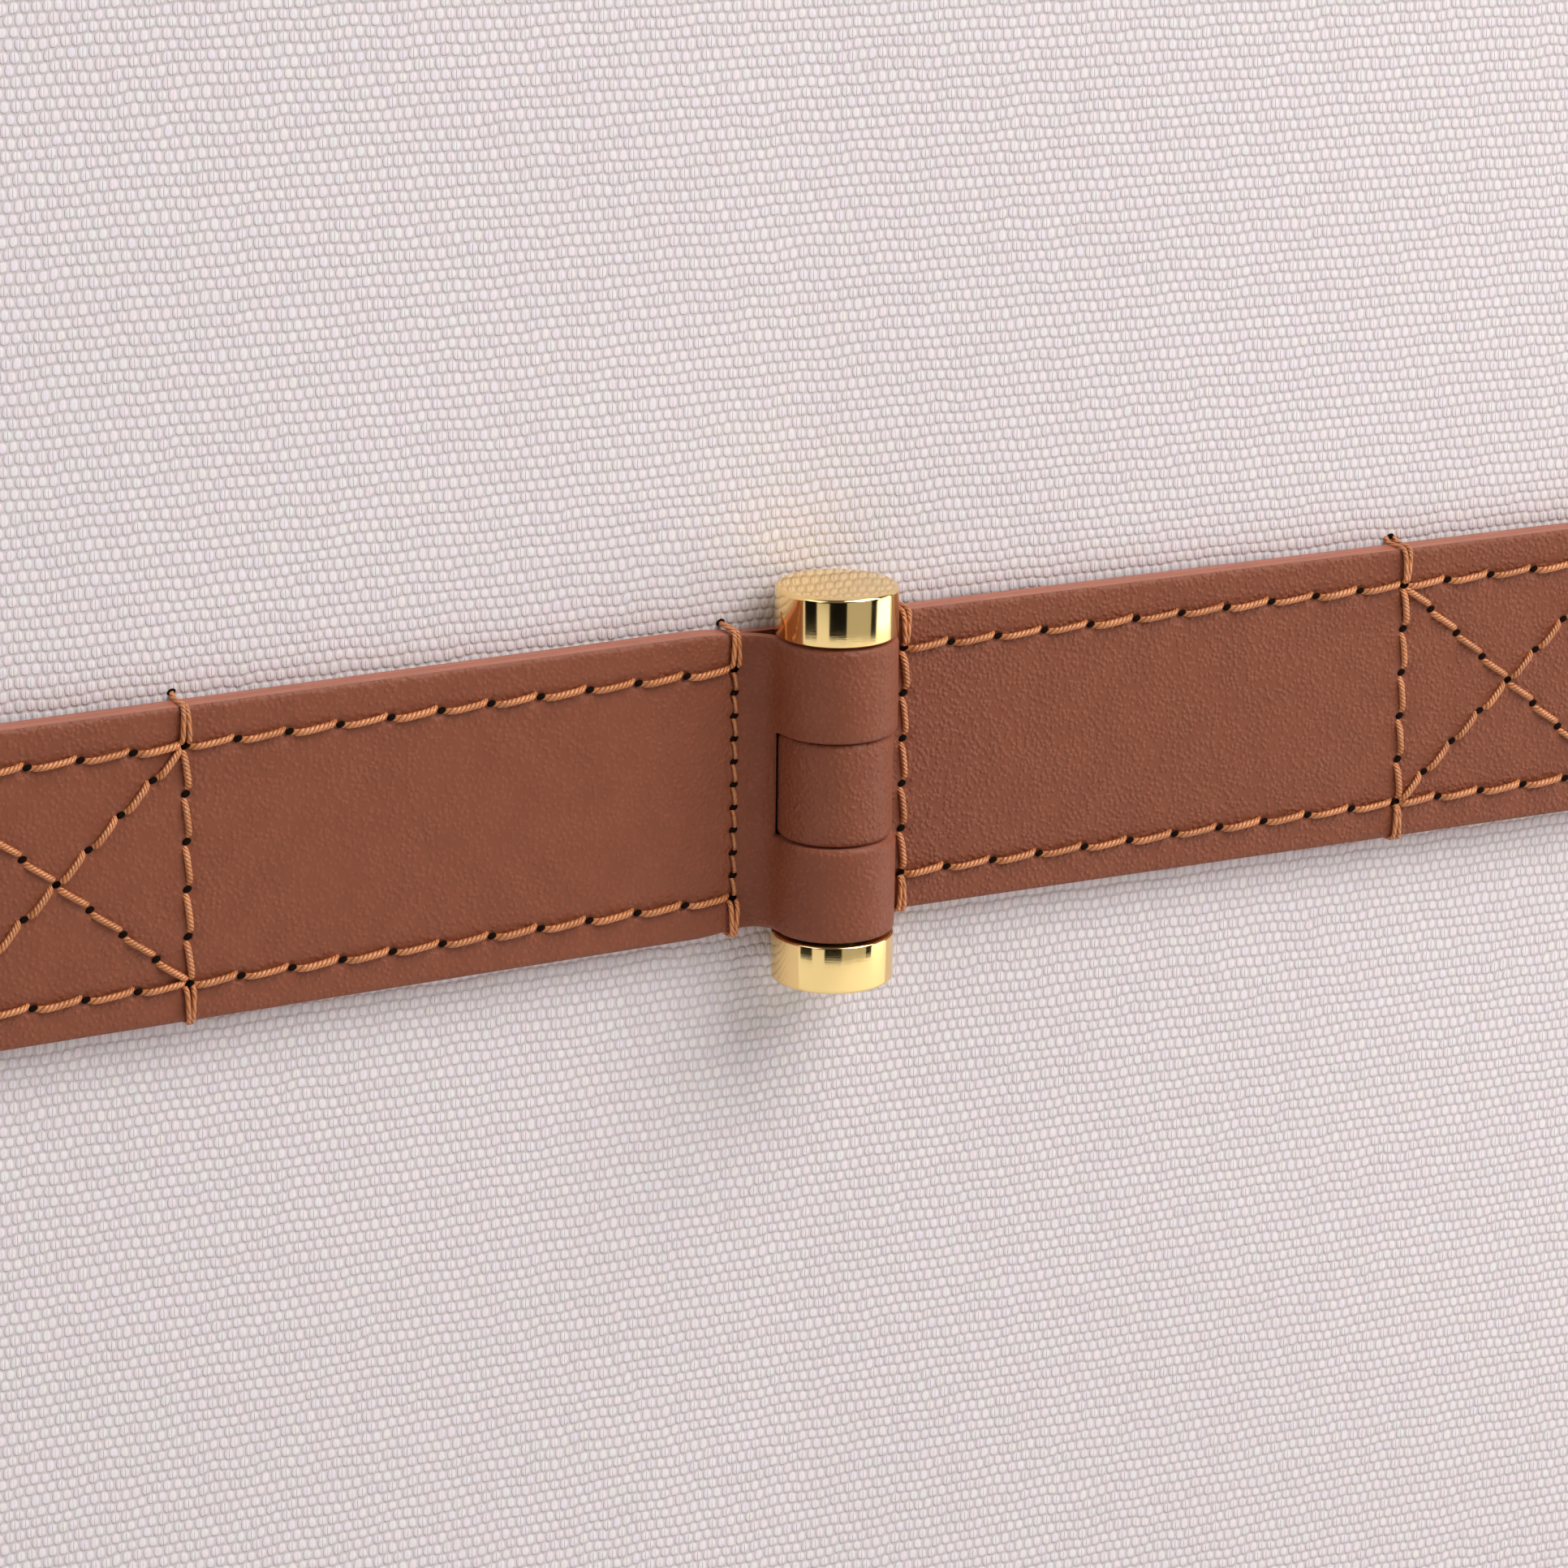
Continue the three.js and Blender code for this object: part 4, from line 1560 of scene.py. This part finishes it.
            # The needle holes are dark dots of painted shade on the leather and the canvas.
            holes = sewing.pierce(rows, name + "_needle_holes")
            threads, wall_holes = self.edge_threads(word, mirror)
            for piece, slot in ((hide, "leather"), (stitches, "thread"), (near, "thread"),
                                (holes, "leather"), (threads, "thread"), (wall_holes, "canvas")):
                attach(piece, panel)
                log.info("%s: %d faces", piece.name, len(piece.data.polygons))
        pin_body = f"{self.side.word}_pin"
        for word in ("top", "bottom"):
            cap = self.cap(word)
            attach(cap, pin_body)
            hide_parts(f"{self.side.word}_pin_cap_{word}")
            log.info("%s", cap.name)


def smooth_path(points: Sequence[Vector], steps: int = 3) -> list[Vector]:
    """More points on a smooth curve through the points given."""
    fine: list[Vector] = []
    for i in range(len(points) - 1):
        before = points[max(i - 1, 0)]
        after = points[min(i + 2, len(points) - 1)]
        a, b = points[i], points[i + 1]
        for k in range(steps):
            t = k / steps
            square = (2 * before - 5 * a + 4 * b - after) * t * t
            cube = (3 * a - before - 3 * b + after) * t ** 3
            fine.append(0.5 * ((2 * a) + (b - before) * t + square + cube))
    fine.append(points[-1])
    return fine


# ---------------------------------------------------------------------------------------------
# The base insert


@dataclass
class BaseInsert:
    """The lift-out board and the cotton cover glued over its top and edges."""

    edge: float = 1.6 * MM
    corner: float = 5 * MM
    turns: int = 6

    def build(self) -> None:
        """Make the cover; the board itself is the frame's."""
        low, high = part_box("insert_cover")
        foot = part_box("insert_board")[0][2] + 0.2 * MM
        loops = [(0.7 * MM, foot), (0.0, foot + 0.3 * MM), (0.0, high[2] - self.edge)]
        for i in range(1, 5):
            angle = i / 4 * math.pi / 2
            loops.append((self.edge * (1 - math.cos(angle)),
                          high[2] - self.edge + self.edge * math.sin(angle)))
        inside = [(0.75 * MM, foot + 2.6 * MM), (0.75 * MM, foot)]
        points: list[Point] = []
        flat: list[tuple[float, float]] = []
        for inset, z in inside + loops:
            round_off = self.corner - inset
            for sx, sy, start in ((1, -1, -90), (1, 1, 0), (-1, 1, 90), (-1, -1, 180)):
                for i in range(self.turns + 1):
                    angle = math.radians(start + 90 * i / self.turns)
                    x = sx * (high[0] - self.corner) + round_off * math.cos(angle)
                    y = sy * (high[1] - self.corner) + round_off * math.sin(angle)
                    points.append((x, y, z))
                    flat.append((x + (z - high[2]) * sx, y + (z - high[2]) * sy))
        around = 4 * (self.turns + 1)
        faces: list[tuple[int, ...]] = list(grow(len(points) // around, around, closed=True))
        faces.append(tuple(reversed(range(around))))
        faces.append(tuple(range(len(points) - around, len(points))))
        cover = mesh_object("insert_cover_cloth", points, faces, [COTTON])
        set_uv(cover.data, flat)
        face_out(cover.data)
        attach(cover, "base_insert")
        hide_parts("insert_cover")
        log.info("%s", cover.name)


# ---------------------------------------------------------------------------------------------
# The studio


@dataclass
class Panel:
    """A soft light: where it is from the hinge, how large, how bright."""

    name: str
    azimuth: float
    elevation: float
    distance: float
    width: float
    height: float
    watts: float
    colour: Colour = (1.0, 1.0, 1.0)


@dataclass
class Studio:
    """A pale floor, soft lights and the camera."""

    target: Point
    azimuth: float = -27.74
    elevation: float = 17.04
    roll: float = 0.71
    distance: float = 0.490
    lens: float = 140.54
    far: float = 20.0
    paper: Colour = (0.68, 0.67, 0.665)
    flag_distance: float = 0.475
    flags: tuple[tuple[float, float, str], ...] = (
        (-88, -64, "black"), (-41, -9, "black"), (-9, 38, "grey"), (38, 50, "black"))
    panels: tuple[Panel, ...] = (
        Panel("key", 38, 48, 0.95, 0.75, 0.75, 9.8, (1.0, 0.985, 0.965)),
        Panel("side", 70, -8, 0.55, 0.34, 0.60, 1.2, (1.0, 0.98, 0.95)),
        Panel("fill", -78, 30, 1.0, 0.8, 0.8, 2.8, (0.97, 0.98, 1.0)),
        Panel("back", 150, 50, 1.4, 1.2, 1.2, 12.0),
        Panel("far_side", -140, 45, 1.4, 1.2, 1.2, 9.0),
    )

    @staticmethod
    def away(azimuth: float, elevation: float) -> Vector:
        """The direction out of the front wall at an azimuth and an elevation, in degrees."""
        a, e = math.radians(azimuth), math.radians(elevation)
        return Vector((math.sin(a) * math.cos(e), -math.cos(a) * math.cos(e), math.sin(e)))

    def build(self) -> None:
        """Make the camera, the lights, the floor and the world."""
        scene = bpy.context.scene
        scene.view_settings.view_transform = "Standard"
        centre = Vector(self.target)
        back = self.away(self.azimuth, self.elevation)
        right = Vector((0, 0, 1)).cross(back).normalized()
        up = back.cross(right)
        roll = math.radians(self.roll)
        level = math.cos(roll) * right + math.sin(roll) * up
        upright = -math.sin(roll) * right + math.cos(roll) * up
        camera_data = bpy.data.cameras.new("view")
        camera_data.lens = self.lens
        camera_data.sensor_width = 36.0
        camera_data.clip_start = 0.01
        camera = bpy.data.objects.new("view", camera_data)
        turn = Matrix((level, upright, back)).transposed().to_4x4()
        camera.matrix_world = Matrix.Translation(centre + back * self.distance) @ turn
        scene.collection.objects.link(camera)
        scene.camera = camera
        for panel in self.panels:
            self.light(panel, centre)
        self.floor()
        self.world()

    def light(self, panel: Panel, centre: Vector) -> None:
        """Make one soft light that faces the hinge."""
        data = bpy.data.lights.new(panel.name, "AREA")
        data.shape = "RECTANGLE"
        data.size, data.size_y = panel.width, panel.height
        data.energy = panel.watts
        data.color = panel.colour
        lamp = bpy.data.objects.new(panel.name, data)
        direction = self.away(panel.azimuth, panel.elevation)
        lamp.matrix_world = (Matrix.Translation(centre + direction * panel.distance)
                             @ direction.to_track_quat("Z", "Y").to_matrix().to_4x4())
        lamp.visible_camera = False
        bpy.context.scene.collection.objects.link(lamp)

    def floor(self) -> None:
        """A plain pale floor under the bin."""
        far, drop = self.far, -0.0002
        points = [(-far, -far, drop), (far, -far, drop), (far, far, drop), (-far, far, drop)]
        floor = mesh_object("studio_floor", points, [(0, 1, 2, 3)],
                            [Finish("studio_paper", self.paper)])
        shader = floor.data.materials[0].node_tree.nodes["Principled BSDF"]
        shader.inputs["Base Color"].default_value = (*self.paper, 1.0)
        shader.inputs["Roughness"].default_value = 0.8
        centre = Vector(self.target)
        for number, (start, end, shade) in enumerate(self.flags):
            self.flag(f"flag_{number}_{shade}", centre, start, end, shade)

    def flag(self, name: str, centre: Vector, start: float, end: float, shade: str) -> None:
        """A black or grey card that only mirrors see, between two azimuths, on the floor."""
        points: list[Point] = []
        for azimuth in (start, (start + end) / 2, end):
            away = self.away(azimuth, 0.0) * self.flag_distance
            points += [(centre.x + away.x, centre.y + away.y, z) for z in (0.001, 0.30)]
        card = mesh_object(name, points, [(0, 2, 3, 1), (2, 4, 5, 3)], [BLACK_CARD])
        if shade == "grey":
            card.data.materials[0] = GREY_CARD.material()
        card.visible_camera = False
        card.visible_diffuse = False
        card.visible_shadow = False

    def world(self) -> None:
        """A dim, even room, so that polished metal has something dark to mirror."""
        world = bpy.data.worlds.new("room")
        world.use_nodes = True
        bpy.context.scene.world = world
        background = world.node_tree.nodes["Background"]
        background.inputs["Color"].default_value = (0.93, 0.96, 1.0, 1.0)
        background.inputs["Strength"].default_value = 0.12


# ---------------------------------------------------------------------------------------------
# Putting it together


def dress_nodes() -> None:
    """Give the frame's own boards and pins their finishes."""
    for name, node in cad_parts.items():
        finish = None
        if name.endswith("_board"):
            finish = BOARD
        elif name.endswith("_hinge_pin"):
            finish = STEEL
        if finish:
            node.data.materials.clear()
            node.data.materials.append(finish.material())
            log.info("%s: %s", name, finish.name)


def main() -> None:
    """Build every sub-assembly in order."""
    logging.basicConfig(level=logging.INFO, format="%(message)s")
    pin_low, pin_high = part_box("front_hinge_pin")
    hinge = ((pin_low[0] + pin_high[0]) / 2, (pin_low[1] + pin_high[1]) / 2,
             (pin_low[2] + pin_high[2]) / 2)
    floor_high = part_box("floor_canvas")[1]
    wall_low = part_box("front_left_canvas")[0]
    Studio(target=(-1.66 * MM, wall_low[1], hinge[2] - 1.49 * MM)).build()
    CanvasShell(half_x=floor_high[0], half_y=floor_high[1], height=CAD_BOX[1][2],
                wall_foot=wall_low[2]).build()
    strap_end = -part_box("front_strap_left")[0][0]
    for side in Side:
        StrapHinge(side, axis=hinge, strap_end=strap_end).build()
    BaseInsert().build()
    dress_nodes()


if __name__ == "__main__":
    main()
